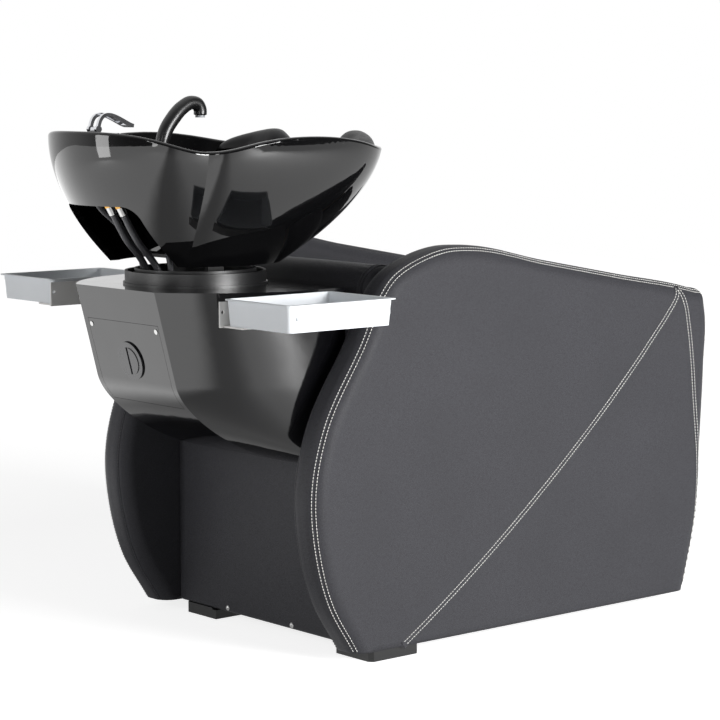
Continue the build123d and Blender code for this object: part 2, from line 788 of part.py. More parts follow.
mixer_top_z = deck_z + mixer_body_height
mixer_foot_z = deck_z - mixer_shank_drop
hinge_x = mixer_x - lever_hinge_reach
hinge_z = mixer_top_z + lever_hinge_rise
lever_half = tongue_half + mixer_gap + lever_bar


def mixer():
    """Mixer body with its shank and back nut, the turning cap, and the looped lever."""
    body = rod_z(mixer_x, 0, deck_z, mixer_top_z, mixer_body_radius)
    body += rod_z(mixer_x, 0, deck_z, deck_z + mixer_flange, mixer_flange_radius)
    body += rod_z(mixer_x, 0, mixer_foot_z, deck_z, mixer_shank_radius)
    save("mixer_body", body)
    nut_z = deck_z - basin_wall - mixer_flange
    nut = Pos(mixer_x, 0, nut_z) * extrude(RegularPolygon(mixer_flange_radius, 6), amount=mixer_flange)
    save("mixer_back_nut", nut - rod_z(mixer_x, 0, mixer_foot_z, deck_z, mixer_shank_radius + pivot_gap))

    cap_z = mixer_top_z + mixer_gap
    cap = rod_z(mixer_x, 0, cap_z, cap_z + cap_disc, mixer_body_radius)
    cap = fillet(cap.edges().group_by(Axis.Z)[-1], cap_disc / 2)
    tongue_x0, tongue_x1 = hinge_x - tongue_length / 2, hinge_x + tongue_length / 2
    cap += block(tongue_x0, mixer_x, -tongue_half, tongue_half, cap_z, cap_z + cap_disc / 2)
    cap += block(tongue_x0, tongue_x1, -tongue_half, tongue_half, cap_z, hinge_z)
    cap += rod_y(hinge_x, hinge_z, -tongue_half, tongue_half, tongue_length / 2)
    cap += rod_y(hinge_x, hinge_z, -lever_half, lever_half, pivot_radius)
    save("mixer_cap", cap)

    arch = Spline(
        (hinge_x, hinge_z),
        (mixer_x - lever_crest_reach, mixer_top_z + lever_crest_rise),
        (mixer_x + lever_shoulder_reach, mixer_top_z + lever_shoulder_rise),
        (mixer_x + lever_tip_reach, mixer_top_z + lever_tip_rise),
    )
    band = (Plane.XZ * trace(arch, line_width=lever_bar)).face()
    lever = slab(band, -lever_half, lever_half)
    lever += rod_y(hinge_x, hinge_z, -lever_half, lever_half, lever_bar)
    window_half = lever_half - lever_bar
    window_end = mixer_x + lever_tip_reach - 2 * lever_bar
    window_start = hinge_x - lever_crest_rise
    window_top = basin_loft_top + overrun
    lever -= block(window_start, window_end, -window_half, window_half, mixer_top_z, window_top)
    lever -= rod_y(hinge_x, hinge_z, -lever_half, lever_half, pivot_radius + pivot_gap)
    save("mixer_lever", lever)


# Hand shower, standing in a bush at the deck's front edge. Its stem's points are real
# places: how far ahead of the bush and how far above the deck each one lies.
holder_x = rear_x + 164.5
holder_y = -30.0
holder_radius = 17.0
holder_bore = 11.5
holder_flange = 3.0
holder_height = 14.0
holder_lean = 12.0
shower_gap = 0.3
stem_drop = 20.0
stem_rise = 34.0
shower_ahead = [14.0, 27.0, 47.5, 66.5, 80.5, 86.0]
shower_above = [49.0, 66.0, 85.0, 93.5, 90.5, 81.0]
tube_radius = 9.0
spray_radius = 10.5
spray_face_radius = 8.5
spray_face_thickness = 4.0


def holder_frame():
    """The hand shower's own frame: Z along its stem, leaning towards the bowl."""
    return Pos(holder_x, holder_y, deck_z) * Rot(0, holder_lean, 0)


def holder_tool(radius, low, high):
    """A cylinder along the hand shower's stem."""
    return holder_frame() * Pos(0, 0, (low + high) / 2) * Cylinder(radius, high - low)


def hand_shower():
    """The holder bush, the curved hand shower and its spray face."""
    bush = holder_tool(holder_radius - drain_gap, -overrun, holder_height)
    bush += holder_tool(holder_radius + holder_flange, mixer_flange, mixer_flange + holder_flange)
    bush -= holder_tool(holder_bore, -2 * overrun, overrun)
    half = holder_radius + overrun
    low_z, high_z = deck_z - basin_wall, deck_z + overrun
    keep = block(holder_x - half, holder_x + half, holder_y - half, holder_y + half, low_z, high_z)
    save("shower_bush", bush & keep)
    lean = math.radians(holder_lean)
    start = Vector(holder_x, holder_y, deck_z)
    upward = Vector(math.sin(lean), 0, math.cos(lean))
    foot = start - upward * stem_drop
    top = start + upward * stem_rise
    arch = [(holder_x + ahead, holder_y, deck_z + above) for ahead, above in zip(shower_ahead, shower_above)]
    stem = Line(foot, top)
    neck = Spline(top, *arch, tangents=[top - foot, Vector(0, 0, -1)])
    stem_radius = holder_bore - shower_gap
    handle = Solid.make_cone(
        stem_radius, tube_radius, (top - foot).length, Plane(origin=foot, z_dir=stem % 0)
    )
    bend = sweep(Plane(origin=top, z_dir=neck % 0) * Circle(tube_radius), path=neck)
    tip = neck @ 1
    head_plane = Plane(origin=tip - (neck % 1) * tube_radius, z_dir=neck % 1)
    head = Solid.make_cone(tube_radius, spray_radius, 2 * tube_radius, head_plane)
    save("hand_shower", handle + bend + head)
    end = Plane(origin=tip + (neck % 1) * tube_radius, z_dir=neck % 1)
    face = end * Pos(0, 0, spray_face_thickness / 2) * Cylinder(spray_face_radius, spray_face_thickness)
    save("spray_face", face)


# Service trays: open moulded trays that hook on steel brackets each side of the shroud
tray_length = 220.0
tray_width = 167.0
tray_height = 45.0
tray_top_z = 643.0
tray_wall = 3.0
tray_lip = 5.0
tray_lip_thickness = 2.0
tray_draft = 3.0
tray_rounding = 8.0
tray_side_gap = 13.0
tray_inner_y = inner_half + tray_side_gap
tray_front_gap = 48.5
bead_height = 6.0
bead_proud = 1.5
bracket_thickness = 3.0
bracket_shelf = 46.0
peg_radius = 5.0
peg_height = 14.0
peg_hole_gap = 0.3
bracket_end = 16.0
bracket_hole = 3.2


def tray_solid(inset, z0, z1, x0, y0):
    """A tapered block with rounded corners, for the tray's outside or its hollow."""
    length = tray_length - 2 * inset
    width = tray_width - 2 * inset
    low = RectangleRounded(length - 2 * tray_draft, width - 2 * tray_draft, tray_rounding - inset)
    high = RectangleRounded(length, width, tray_rounding - inset)
    middle = Pos(x0 + tray_length / 2, y0 + tray_width / 2, 0)
    return loft([middle * Plane.XY.offset(z0) * low, middle * Plane.XY.offset(z1) * high], ruled=True)


def trays():
    """Both trays, with their brackets and pegs, as mirror images."""
    x1 = back_x - tray_front_gap
    x0 = x1 - tray_length
    floor_z = tray_top_z - tray_height
    tray = tray_solid(0, floor_z, tray_top_z, x0, tray_inner_y)
    lip_y = tray_inner_y + (tray_width + tray_lip) / 2
    lip = Pos(x0 + tray_length / 2, lip_y, tray_top_z - tray_lip_thickness / 2)
    lip_box = Box(tray_length + 2 * tray_lip, tray_width + tray_lip, tray_lip_thickness)
    tray += lip * fillet(lip_box.edges().filter_by(Axis.Z), tray_rounding)
    y1 = tray_inner_y + tray_width
    bead_z = floor_z + tray_height / 2
    bead_x0, bead_x1 = x0 + 2 * tray_rounding, x1 - tray_rounding
    bead_z0, bead_z1 = bead_z - bead_height / 2, bead_z + bead_height / 2
    tray += block(bead_x0, bead_x1, y1 - tray_wall, y1 + bead_proud, bead_z0, bead_z1)
    tray -= tray_solid(tray_wall, floor_z + tray_wall, tray_top_z + tray_wall, x0, tray_inner_y)
    pegs_x = (x0 + bracket_end * 2, x1 - bracket_end * 2)
    peg_y = tray_inner_y + bracket_shelf / 2
    for x in pegs_x:
        tray -= rod_z(x, peg_y, floor_z - overrun, floor_z + tray_wall, peg_radius + peg_hole_gap)

    shelf_z = floor_z - bracket_thickness
    side_y = inner_half - shroud_side_gap
    upright_y = tray_inner_y - tray_lip - bracket_thickness
    upright_x, upright_top_z = x0 - bracket_end / 2, tray_top_z - tray_lip
    bracket = block(upright_x, x1, upright_y, upright_y + bracket_thickness, shelf_z, upright_top_z)
    bracket += block(x0, x1, upright_y, tray_inner_y + bracket_shelf, shelf_z, floor_z)
    bracket -= rod_y(x0 - bracket_end / 8, tray_top_z - tray_height / 2, 0, y1, bracket_hole)
    stub_x = back_x - tray_front_gap - bracket_end
    for z in (shelf_z + bracket_end / 2, tray_top_z - bracket_end):
        bracket += rod_y(stub_x, z, side_y, upright_y, bracket_end / 3)
    pegs = []
    for x in pegs_x:
        pegs.append(rod_z(x, peg_y, floor_z, floor_z + peg_height, peg_radius))
    peg_pair = Compound(children=pegs)
    for name, flip in (("left", False), ("right", True)):
        save(f"tray_{name}", mirror(tray, Plane.XZ) if flip else tray)
        save(f"tray_bracket_{name}", mirror(bracket, Plane.XZ) if flip else bracket)
        save(f"tray_pegs_{name}", mirror(peg_pair, Plane.XZ) if flip else peg_pair)


# Plumbing: two supply hoses with brass ends, the hand shower's own hose and the waste hose.
# The points of the hoses are real places on their routes: how far ahead of the collar's
# axis, how far to the left, and how high.
supply_radius = 6.0
copper_radius = 4.0
supply_y = 16.0
copper_foot_x = mixer_x + 7.0
copper_foot_z = 797.0
copper_tail = [(0.5, 9.0, 0.0), (0.5, 9.0, -9.0), (0.1, 14.0, -19.0)]
fitting_lean = 30.0
nut_radius = 8.5
nut_length = 13.0
ferrule_radius = 6.8
ferrule_length = 16.0
supply_route = [
    (-148.5, 16.0, 747.6),
    (-131.5, 16.0, 722.0),
    (-110.5, 16.0, 699.0),
    (-92.5, 18.0, 674.0),
    (-81.5, 21.0, 648.0),
    (-69.5, 26.0, 620.0),
    (-53.5, 33.0, 592.0),
    (-31.5, 38.0, 564.0),
    (-5.5, 40.0, 538.0),
    (22.5, 40.5, 509.0),
    (49.5, 40.0, 482.0),
    (77.5, 40.0, 460.0),
]
valve_y = 40.0
valve_z = 460.0
valve_length = 32.0
valve_radius = 9.0
valve_flange_radius = 15.0
valve_flange = 3.0
shower_hose_radius = 5.0
shower_hose_route = [
    (-104.3, -30.0, 826.7),
    (-107.0, -33.0, 803.0),
    (-105.5, -38.0, 776.0),
    (-100.5, -40.0, 750.0),
    (-92.5, -41.0, 722.0),
    (-86.5, -41.0, 694.0),
    (-81.5, -42.0, 666.0),
    (-80.5, -43.0, 638.0),
    (-82.5, -42.0, 610.0),
    (-84.5, -34.0, 585.0),
    (-86.5, -14.0, 567.0),
    (-86.5, 14.0, 566.0),
    (-84.5, 34.0, 584.0),
    (-82.5, 43.0, 610.0),
    (-80.5, 43.0, 638.0),
    (-81.5, 42.0, 666.0),
    (-88.5, 41.0, 693.0),
    (-103.5, 40.0, 718.0),
    (-124.5, 38.0, 740.0),
    (-149.5, 36.5, 761.0),
    (-173.5, 35.0, 780.0),
    (-190.5, 28.0, 798.0),
    (-196.0, 13.0, 813.0),
    (-194.0, 0.5, 826.0),
]
waste_radius = 16.0
waste_pipe_wall = 2.0
waste_pipe_length = 60.0
waste_route = [(0.5, 606.0), (0.6, 556.0), (0.0, 507.0), (14.7, 471.3), (41.8, 444.2), (77.3, 430.0)]


def supply(side):
    """One supply line: copper tail, brass nut, ferrule and the hose to its stop valve."""
    lean = math.radians(fitting_lean)
    run = Vector(math.sin(lean), 0, -math.cos(lean))
    y = side * supply_y
    top = Vector(copper_foot_x, y, copper_foot_z)
    tail = [(mixer_x + x, side * at, mixer_foot_z + z) for x, at, z in copper_tail]
    copper = hose([*tail, tuple(top - run * nut_length), tuple(top)], copper_radius)
    nut = Plane(origin=top, z_dir=run) * extrude(RegularPolygon(nut_radius, 6), amount=nut_length)
    crimp = top + run * nut_length
    middle = Plane(origin=crimp + run * (ferrule_length / 2), z_dir=run)
    ferrule = middle * Cylinder(ferrule_radius, ferrule_length)
    start = crimp + run * (ferrule_length + seam_gap)
    route = [(collar_x + ahead, side * at, z) for ahead, at, z in supply_route]
    valve_x = back_x - valve_length
    ends = [(valve_x, side * valve_y, valve_z)]
    line = hose([tuple(start), *route, *ends], supply_radius)
    valve = rod_x(side * valve_y, valve_z, valve_x, back_x, valve_radius)
    valve += rod_x(side * valve_y, valve_z, back_x - valve_flange, back_x, valve_flange_radius)
    return copper, nut, ferrule, line, valve


def plumbing():
    """All hoses on their real routes, with the fittings at their ends."""
    names = ("copper_tails", "supply_nuts", "supply_ferrules", "supply_hoses", "stop_valves")
    for name, pieces in zip(names, zip(supply(-1), supply(1))):
        save(name, Compound(children=list(pieces)))
    lean = math.radians(holder_lean)
    drop = stem_drop + seam_gap
    start = (holder_x - drop * math.sin(lean), holder_y, deck_z - drop * math.cos(lean))
    end = (mixer_x - 2 * shower_hose_radius, 0, mixer_foot_z - seam_gap)
    route = [(collar_x + ahead, at, z) for ahead, at, z in shower_hose_route]
    save("shower_hose", hose([start, *route, end], shower_hose_radius))
    route = [(drain_x + ahead, 0, z) for ahead, z in waste_route]
    line = [(drain_x, 0, tail_foot_z), *route, (back_x, 0, waste_z)]
    save("waste_hose", hose(line, waste_radius))
    pipe = rod_x(0, waste_z, back_x, back_x + waste_pipe_length, waste_radius)
    pipe -= rod_x(0, waste_z, back_x, back_x + waste_pipe_length, waste_radius - waste_pipe_wall)
    save("waste_pipe", pipe)


side_panels()
feet()
base_frame()
back_panel()
seat()
backrest()
shroud()
collar()
basin()
drain()
tilt_gear()
neck_pad()
mixer()
hand_shower()
trays()
plumbing()
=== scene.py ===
import math

import bmesh
import bpy
import numpy as np
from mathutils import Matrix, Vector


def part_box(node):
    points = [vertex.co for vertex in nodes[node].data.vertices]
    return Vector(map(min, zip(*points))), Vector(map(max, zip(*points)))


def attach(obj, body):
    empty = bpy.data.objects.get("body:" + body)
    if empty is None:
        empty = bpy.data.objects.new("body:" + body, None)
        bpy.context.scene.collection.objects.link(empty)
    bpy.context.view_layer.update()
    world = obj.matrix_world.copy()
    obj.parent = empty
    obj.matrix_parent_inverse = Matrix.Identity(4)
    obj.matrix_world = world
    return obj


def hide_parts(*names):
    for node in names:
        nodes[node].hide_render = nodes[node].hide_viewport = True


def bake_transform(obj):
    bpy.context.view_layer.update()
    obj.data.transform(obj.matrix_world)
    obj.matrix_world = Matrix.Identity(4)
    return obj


# The frame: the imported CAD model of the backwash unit. +X runs towards the client's feet,
# +Y to the client's left, +Z up, in metres, with the floor at zero.
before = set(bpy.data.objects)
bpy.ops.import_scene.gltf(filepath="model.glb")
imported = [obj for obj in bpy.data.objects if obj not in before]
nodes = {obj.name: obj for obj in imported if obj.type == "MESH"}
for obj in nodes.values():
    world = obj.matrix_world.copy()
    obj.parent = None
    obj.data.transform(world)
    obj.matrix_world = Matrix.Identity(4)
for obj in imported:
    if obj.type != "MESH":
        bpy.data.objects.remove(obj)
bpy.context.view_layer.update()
MM = 0.001


# Camera: a long lens behind the client's right shoulder, a little above the basin's rim, that
# looks slightly down. Its angles are in degrees.
CAMERA_PLACE = (-2.8938, -3.4132, 1.0)
CAMERA_DOWN = 6.607
CAMERA_TURN = -40.4
lens = bpy.data.cameras.new("studio_camera")
lens.lens = 120.85
lens.sensor_width = 36.0
camera = bpy.data.objects.new("studio_camera", lens)
camera.location = CAMERA_PLACE
camera.rotation_euler = (math.radians(90 - CAMERA_DOWN), 0, math.radians(CAMERA_TURN))
scene = bpy.context.scene
scene.collection.objects.link(camera)
scene.camera = camera
scene.view_settings.view_transform = "Standard"


# Studio: a white sweep that the camera and the gloss see as white, and soft lamps at a
# plain level that leave the black leatherette black.
def linear(hex_colour):
    """An sRGB hex colour as linear RGBA: each channel c becomes ((c + 0.055) / 1.055) ^ 2.4."""
    parts = [int(hex_colour[i : i + 2], 16) / 255 for i in (1, 3, 5)]
    return [c / 12.92 if c <= 0.04045 else ((c + 0.055) / 1.055) ** 2.4 for c in parts] + [1.0]


def join(tree, node, links):
    """Links sources to a node's sockets. A node as source stands for its first output in use."""
    for key, source in links.items():
        if isinstance(source, bpy.types.Node):
            source = next(socket for socket in source.outputs if socket.enabled)
        tree.links.new(source, node.inputs[key])


def add_node(tree, kind, settings=None, inputs=None, links=None):
    """A shader node with its properties, its socket values and its incoming links."""
    made = tree.nodes.new("ShaderNode" + kind)
    for key, value in (settings or {}).items():
        setattr(made, key, value)
    for key, value in (inputs or {}).items():
        made.inputs[key].default_value = value
    join(tree, made, links or {})
    return made


def mirrored_ray(tree, path):
    """1 for what a gloss or a glass shows, and 0 for the rest."""
    kinds = {0: path.outputs["Is Glossy Ray"], 1: path.outputs["Is Transmission Ray"]}
    return add_node(tree, "Math", {"operation": "MAXIMUM"}, links=kinds)


DOT = {"operation": "DOT_PRODUCT"}
SMOOTH = {"interpolation_type": "SMOOTHSTEP"}
RANGE = ("From Min", "From Max", "To Min", "To Max")


def steps_along(tree, place, direction, *spans):
    """Smooth steps along a direction: where each starts and ends, and its value there."""
    along = add_node(tree, "VectorMath", DOT, {1: direction}, {0: place})
    links = {"Value": along}
    return [add_node(tree, "MapRange", SMOOTH, dict(zip(RANGE, span)), links) for span in spans]


def studio_material(name, colour, glow):
    """Paper that the camera sees nearly white by the light path: part of the white is its own
    glow, and the rest is lit, so that it keeps a soft shadow. Gloss sees it as a studio floor:
    burnt out where the sweep is lit, behind and left of the object, and duller beside it."""
    material = bpy.data.materials.new(name)
    material.use_nodes = True
    tree = material.node_tree
    tree.nodes.clear()
    path = add_node(tree, "LightPath")
    ground = add_node(tree, "TexCoord").outputs["Object"]
    zones = steps_along(tree, ground, LIT_SIDE, *GLOSS_ZONES)
    zone = add_node(tree, "Math", {"operation": "ADD"}, links=dict(enumerate(zones)))
    sources = {0: zone, 1: mirrored_ray(tree, path)}
    gloss = add_node(tree, "Math", {"operation": "MULTIPLY"}, links=sources)
    apart = add_node(tree, "VectorMath", {"operation": "LENGTH"}, links={0: ground})
    edges = dict(zip(RANGE, (*FAR_SWEEP, glow, 1.0)))
    paper = add_node(tree, "MapRange", inputs=edges, links={"Value": apart})
    sources = {0: path.outputs["Is Camera Ray"], 1: paper, 2: gloss}
    power = add_node(tree, "Math", {"operation": "MULTIPLY_ADD"}, links=sources)
    lit = add_node(tree, "BsdfDiffuse", inputs={"Color": linear(colour)})
    white = add_node(tree, "Emission", links={"Strength": power})
    both = add_node(tree, "AddShader", links={0: lit, 1: white})
    add_node(tree, "OutputMaterial", links={"Surface": both})
    return material


LIT_SIDE = (-0.85, 0.53, 0.0)
GLOSS_ZONES = ((0.62, 0.95, 0.3, 2.0), (-0.2, 0.45, 0.8, 0.0))
FAR_SWEEP = (1.2, 4.0)
FLOOR_SIZE = 14.0
floor_mesh = bpy.data.meshes.new("studio_floor")
half = FLOOR_SIZE / 2
floor_corners = [(-half, -half, 0), (half, -half, 0), (half, half, 0), (-half, half, 0)]
floor_mesh.from_pydata(floor_corners, [], [(0, 1, 2, 3)])
studio_floor = bpy.data.objects.new("studio_floor", floor_mesh)
scene.collection.objects.link(studio_floor)
floor_mesh.materials.append(studio_material("white paper sweep", "#d8d8d8", 0.80))

# The room: white paper all round for the camera, and for gloss white behind the object, falling
# to the unlit end of the studio that lies behind the camera, with a black flag on the right.
ROOM_FILL = 0.09
INTO_ROOM = (0.648, 0.7615, 0.0)
WALL_STEP = (-0.85, 0.15, 0.10, 1.0)
FLAG_SIDE = (0.7615, -0.648, 0.0)
FLAG_STEP = (0.35, 0.75, 1.0, 0.12)
world = bpy.data.worlds.new("studio")
scene.world = world
world.use_nodes = True
tree = world.node_tree
tree.nodes.clear()
ray = add_node(tree, "TexCoord").outputs["Generated"]
shades = steps_along(tree, ray, INTO_ROOM, WALL_STEP) + steps_along(tree, ray, FLAG_SIDE, FLAG_STEP)
flagged = add_node(tree, "Math", {"operation": "MULTIPLY"}, links=dict(enumerate(shades)))
eye = add_node(tree, "LightPath")
seen = eye.outputs["Is Camera Ray"]
seen_wall = add_node(tree, "Math", {"operation": "MAXIMUM"}, links={0: flagged, 1: seen})
shown = add_node(tree, "Background", inputs={"Color": (1, 1, 1, 1)}, links={"Strength": seen_wall})
fill = add_node(tree, "Background", inputs={"Color": (1, 1, 1, 1), "Strength": ROOM_FILL})
sources = {0: seen, 1: mirrored_ray(tree, eye)}
shows = add_node(tree, "Math", {"operation": "MAXIMUM"}, links=sources)
mix = add_node(tree, "MixShader", links={0: shows, 1: fill, 2: shown})
add_node(tree, "OutputWorld", links={"Surface": mix})

# Lamps: place, target, width, height and power.
lamps = {
    "key_softbox": ((0.6, -4.4, 1.2), (0.0, -0.3, 0.45), 1.6, 1.4, 265.0),
    "top_softbox": ((-0.2, 0.0, 3.2), (-0.2, 0.0, 0.5), 2.4, 1.6, 1.0),
    "rear_strip": ((-3.0, 0.6, 0.9), (-0.4, 0.0, 0.5), 0.5, 1.6, 18.0),
    "side_strip": ((-3.3, -2.2, 1.3), (-0.4, 0.0, 0.6), 0.4, 1.8, 14.0),
}
for name, (place, target, width, height, power) in lamps.items():
    lamp = bpy.data.lights.new(name, "AREA")
    lamp.shape = "RECTANGLE"
    lamp.size, lamp.size_y, lamp.energy = width, height, power
    holder = bpy.data.objects.new(name, lamp)
    away = np.array(place) - np.array(target)
    flat = math.hypot(away[0], away[1])
    turned = math.atan2(away[0], -away[1]) if flat else 0
    holder.rotation_euler = (math.atan2(flat, away[2]), 0, turned)
    holder.location = place
    scene.collection.objects.link(holder)


# Base frame: square steel tube welded to a ladder, powder coated black, on moulded feet that
# are pressed into its underside. The two seat uprights are of the same tube.
def shader(name, colour, roughness, metallic=0.0, **more):
    """A material with a principled surface, and the parts that its patterns are added to."""
    material = bpy.data.materials.new(name)
    material.use_nodes = True
    tree = material.node_tree
    tree.nodes.clear()
    inputs = {"Base Color": linear(colour), "Roughness": roughness, "Metallic": metallic, **more}
    surface = add_node(tree, "BsdfPrincipled", inputs=inputs)
    add_node(tree, "OutputMaterial", links={"Surface": surface})
    return material, tree, surface, add_node(tree, "TexCoord").outputs["Object"]


def pattern(tree, surface, height, dent=None, roughness=None, tones=None):
    """Lets a pattern's height dent a surface, with a strength and a depth, vary its roughness
    between two values, and mix two colours."""
    made = {}
    if dent:
        inputs = {"Strength": dent[0], "Distance": dent[1]}
        made["Normal"] = add_node(tree, "Bump", inputs=inputs, links={"Height": height})
    if roughness:
        inputs = dict(zip(RANGE[2:], roughness))
        made["Roughness"] = add_node(tree, "MapRange", inputs=inputs, links={"Value": height})
    if tones:
        inputs = {6: linear(tones[0]), 7: linear(tones[1])}
        made["Base Color"] = add_node(tree, "Mix", {"data_type": "RGBA"}, inputs, {0: height})
    join(tree, surface, made)


def noise_layer(tree, surface, place, size, detail, **looks):
    """A noise pattern of a real size on a surface, and what it changes."""
    inputs = {"Scale": 1 / size, "Detail": detail}
    noise = add_node(tree, "TexNoise", inputs=inputs, links={"Vector": place})
    pattern(tree, surface, noise, **looks)


def dress(finish, *names):
    """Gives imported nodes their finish."""
    for name in names:
        nodes[name].data.materials.clear()
        nodes[name].data.materials.append(finish)


# Baked powder: an orange peel of 2 mm waves, with the gloss patchy at the size of a palm.
POWDER_PEEL = 2.0 * MM
PALM = 60.0 * MM
powder, *parts = shader("black powder coat on steel", "#161616", 0.5)
noise_layer(*parts, POWDER_PEEL, 2.0, dent=(0.35, 0.3 * MM))
noise_layer(*parts, PALM, 3.0, roughness=(0.42, 0.6))

# Moulded polypropylene: a dull gloss with the fine spark texture of its mould, scuffed low down.
SPARK = 0.9 * MM
foot_black, *parts = shader("black moulded polypropylene", "#101011", 0.3, IOR=1.49)
noise_layer(*parts, SPARK, 2.0, dent=(0.25, 0.2 * MM))
noise_layer(*parts, PALM, 5.0, roughness=(0.2, 0.5))

dress(powder, "base_frame", "seat_upright_left", "seat_upright_right")
dress(foot_black, "rear_foot_left", "rear_foot_right", "front_foot_left", "front_foot_right")


# Side panels: ply cores under foam, covered in black grained leatherette that is pulled
# round a bull nose at the rim. Seams along the rim and across the outer face are topstitched
# in white thread, two rows each.
def unit(vectors):
    """Vectors scaled to a length of one."""
    return vectors / np.linalg.norm(vectors, axis=-1)[..., None]


def run_along(points):
    """The distance along a line of points at each of them."""
    return np.concatenate([[0], np.cumsum(np.linalg.norm(np.diff(points, axis=0), axis=1))])


def at_distances(wanted, run, values):
    """The values along a line at the wanted distances, from those at the known ones."""
    return np.stack([np.interp(wanted, run, column) for column in values.T], -1)


def smooth_line(points, count):
    """Points on a cubic through the given ones: the slope at each is the mean slope of its
    neighbours by distance, and the steps along the curve are even."""
    points = np.asarray(points, float)
    chord = run_along(points)
    slope = np.gradient(points, chord, axis=0)
    along = np.linspace(0, chord[-1], 8 * count)
    k = np.clip(np.searchsorted(chord, along, side="right") - 1, 0, len(points) - 2)
    step = (chord[k + 1] - chord[k])[:, None]
    s = (along - chord[k])[:, None] / step
    start = (2 * s**3 - 3 * s**2 + 1) * points[k] + (s**3 - 2 * s**2 + s) * step * slope[k]
    curve = start + (3 * s**2 - 2 * s**3) * points[k + 1] + (s**3 - s**2) * step * slope[k + 1]
    length = run_along(curve)
    return at_distances(np.linspace(0, length[-1], count), length, curve)


def evened(columns, span):
    """Columns of numbers, each averaged over span neighbours with raised-cosine weights."""
    weights = np.hanning(span + 2)[1:-1]
    weights /= weights.sum()
    return [np.convolve(np.pad(column, span // 2, "edge"), weights, "valid") for column in columns]


def bell(distance, width):
    """A bell curve: 1 at no distance, and e to the power -1 at the width."""
    return np.exp(-((distance / width) ** 2))


def piece_of(name, points, faces, finish):
    """A smooth-shaded object at the origin from an array of points and lists of faces."""
    mesh = bpy.data.meshes.new(name)
    mesh.from_pydata(points.reshape(-1, 3).tolist(), [], faces)
    mesh.shade_smooth()
    mesh.materials.append(finish)
    piece = bpy.data.objects.new(name, mesh)
    scene.collection.objects.link(piece)
    return piece


def grid_quads(rows, columns, wrap=True):
    """Quads between neighbours on a grid; wrap joins the last column to the first."""
    i = np.arange(rows - 1)[:, None]
    j = np.arange(columns if wrap else columns - 1)[None, :]
    k = (j + 1) % columns
    corners = [i * columns + j, i * columns + k, (i + 1) * columns + k, (i + 1) * columns + j]
    return np.stack(np.broadcast_arrays(*corners), -1).reshape(-1, 4)


def closed_skin(name, grid, finish):
    """A closed skin: rings of points, one after the other, with both end rings filled. The
    sum of its quads' triple products, a signed volume, says which way it faces."""
    rows, columns = grid.shape[:2]
    points = grid.reshape(-1, 3)
    quads = grid_quads(rows, columns)
    a, b, c, d = (points[quads[:, n]] - points.mean(axis=0) for n in range(4))
    volume = np.sum(a * (np.cross(b, c) + np.cross(c, d)))
    ends = [list(range(columns))[::-1], list(range((rows - 1) * columns, rows * columns))]
    faces = quads.tolist() + ends
    if volume < 0:
        faces = [face[::-1] for face in faces]
    return piece_of(name, points, faces, finish)


# Vinyl leatherette: embossed with a pebble grain whose valleys are duller, with painted shade in
# them.
# The real grain is 1 mm; it is drawn at 2 mm so that it shows. Faint shifts of tone come from
# the foam underneath and from handling.
PEBBLE = 2.0 * MM
HANDLED = 120.0 * MM
BEND = 2.0 * MM
MATT = {"IOR": 1.45, "Specular IOR Level": 0.2}
leather, tree, surface, place = shader("embossed vinyl leatherette", "#424246", 0.5, **MATT)
inputs = {"Scale": 0.25 / PEBBLE, "Detail": 2.0}
warp = add_node(tree, "TexNoise", inputs=inputs, links={"Vector": place}).outputs["Color"]
sources = {0: warp, 2: place}
bent = add_node(tree, "VectorMath", {"operation": "MULTIPLY_ADD"}, {1: (BEND,) * 3}, sources)
edges = {"feature": "DISTANCE_TO_EDGE"}
pebble = add_node(tree, "TexVoronoi", edges, {"Scale": 1 / PEBBLE}, {"Vector": bent})
domed = add_node(tree, "MapRange", inputs={"From Max": 0.35}, links={"Value": pebble})
pattern(tree, surface, domed, dent=(0.3, 0.4 * MM), roughness=(0.6, 0.44))
inputs = {"Scale": 1 / HANDLED, "Detail": 3.0}
tone = add_node(tree, "TexNoise", inputs=inputs, links={"Vector": place})
inputs = {6: linear("#3d3d41"), 7: linear("#48484d")}
shift = add_node(tree, "Mix", {"data_type": "RGBA"}, inputs, {0: tone})
# The grain's valleys get a darker colour: painted shade in the hollows, over the handling tone.
tone_and_painted_valley_shade = add_node(tree, "Mix", {"data_type": "RGBA"}, {6: linear("#323235")}, {0: domed, 7: shift})
join(tree, surface, {"Base Color": tone_and_painted_valley_shade})

# Birch plywood under the covers: long grain in streaks, with the plies as bands through it.
GRAIN = 3.0 * MM
PLY = 1.5 * MM
plywood, tree, surface, place = shader("birch plywood", "#bd9a6c", 0.6)
stretch = add_node(tree, "Mapping", inputs={"Scale": (0.06, 1.0, 1.0)}, links={"Vector": place})
inputs = {"Scale": 1 / GRAIN, "Detail": 4.0}
streak = add_node(tree, "TexNoise", inputs=inputs, links={"Vector": stretch})
plies = add_node(tree, "TexWave", {"bands_direction": "Y"}, {"Scale": 0.3 / PLY}, {"Vector": place})
both = add_node(tree, "Math", {"operation": "MULTIPLY"}, links={0: streak, 1: plies})
pattern(tree, surface, both, tones=("#c9a878", "#93693e"))
dress(plywood, "side_panel_left_core", "side_panel_right_core", "seat_deck", "backrest_board")


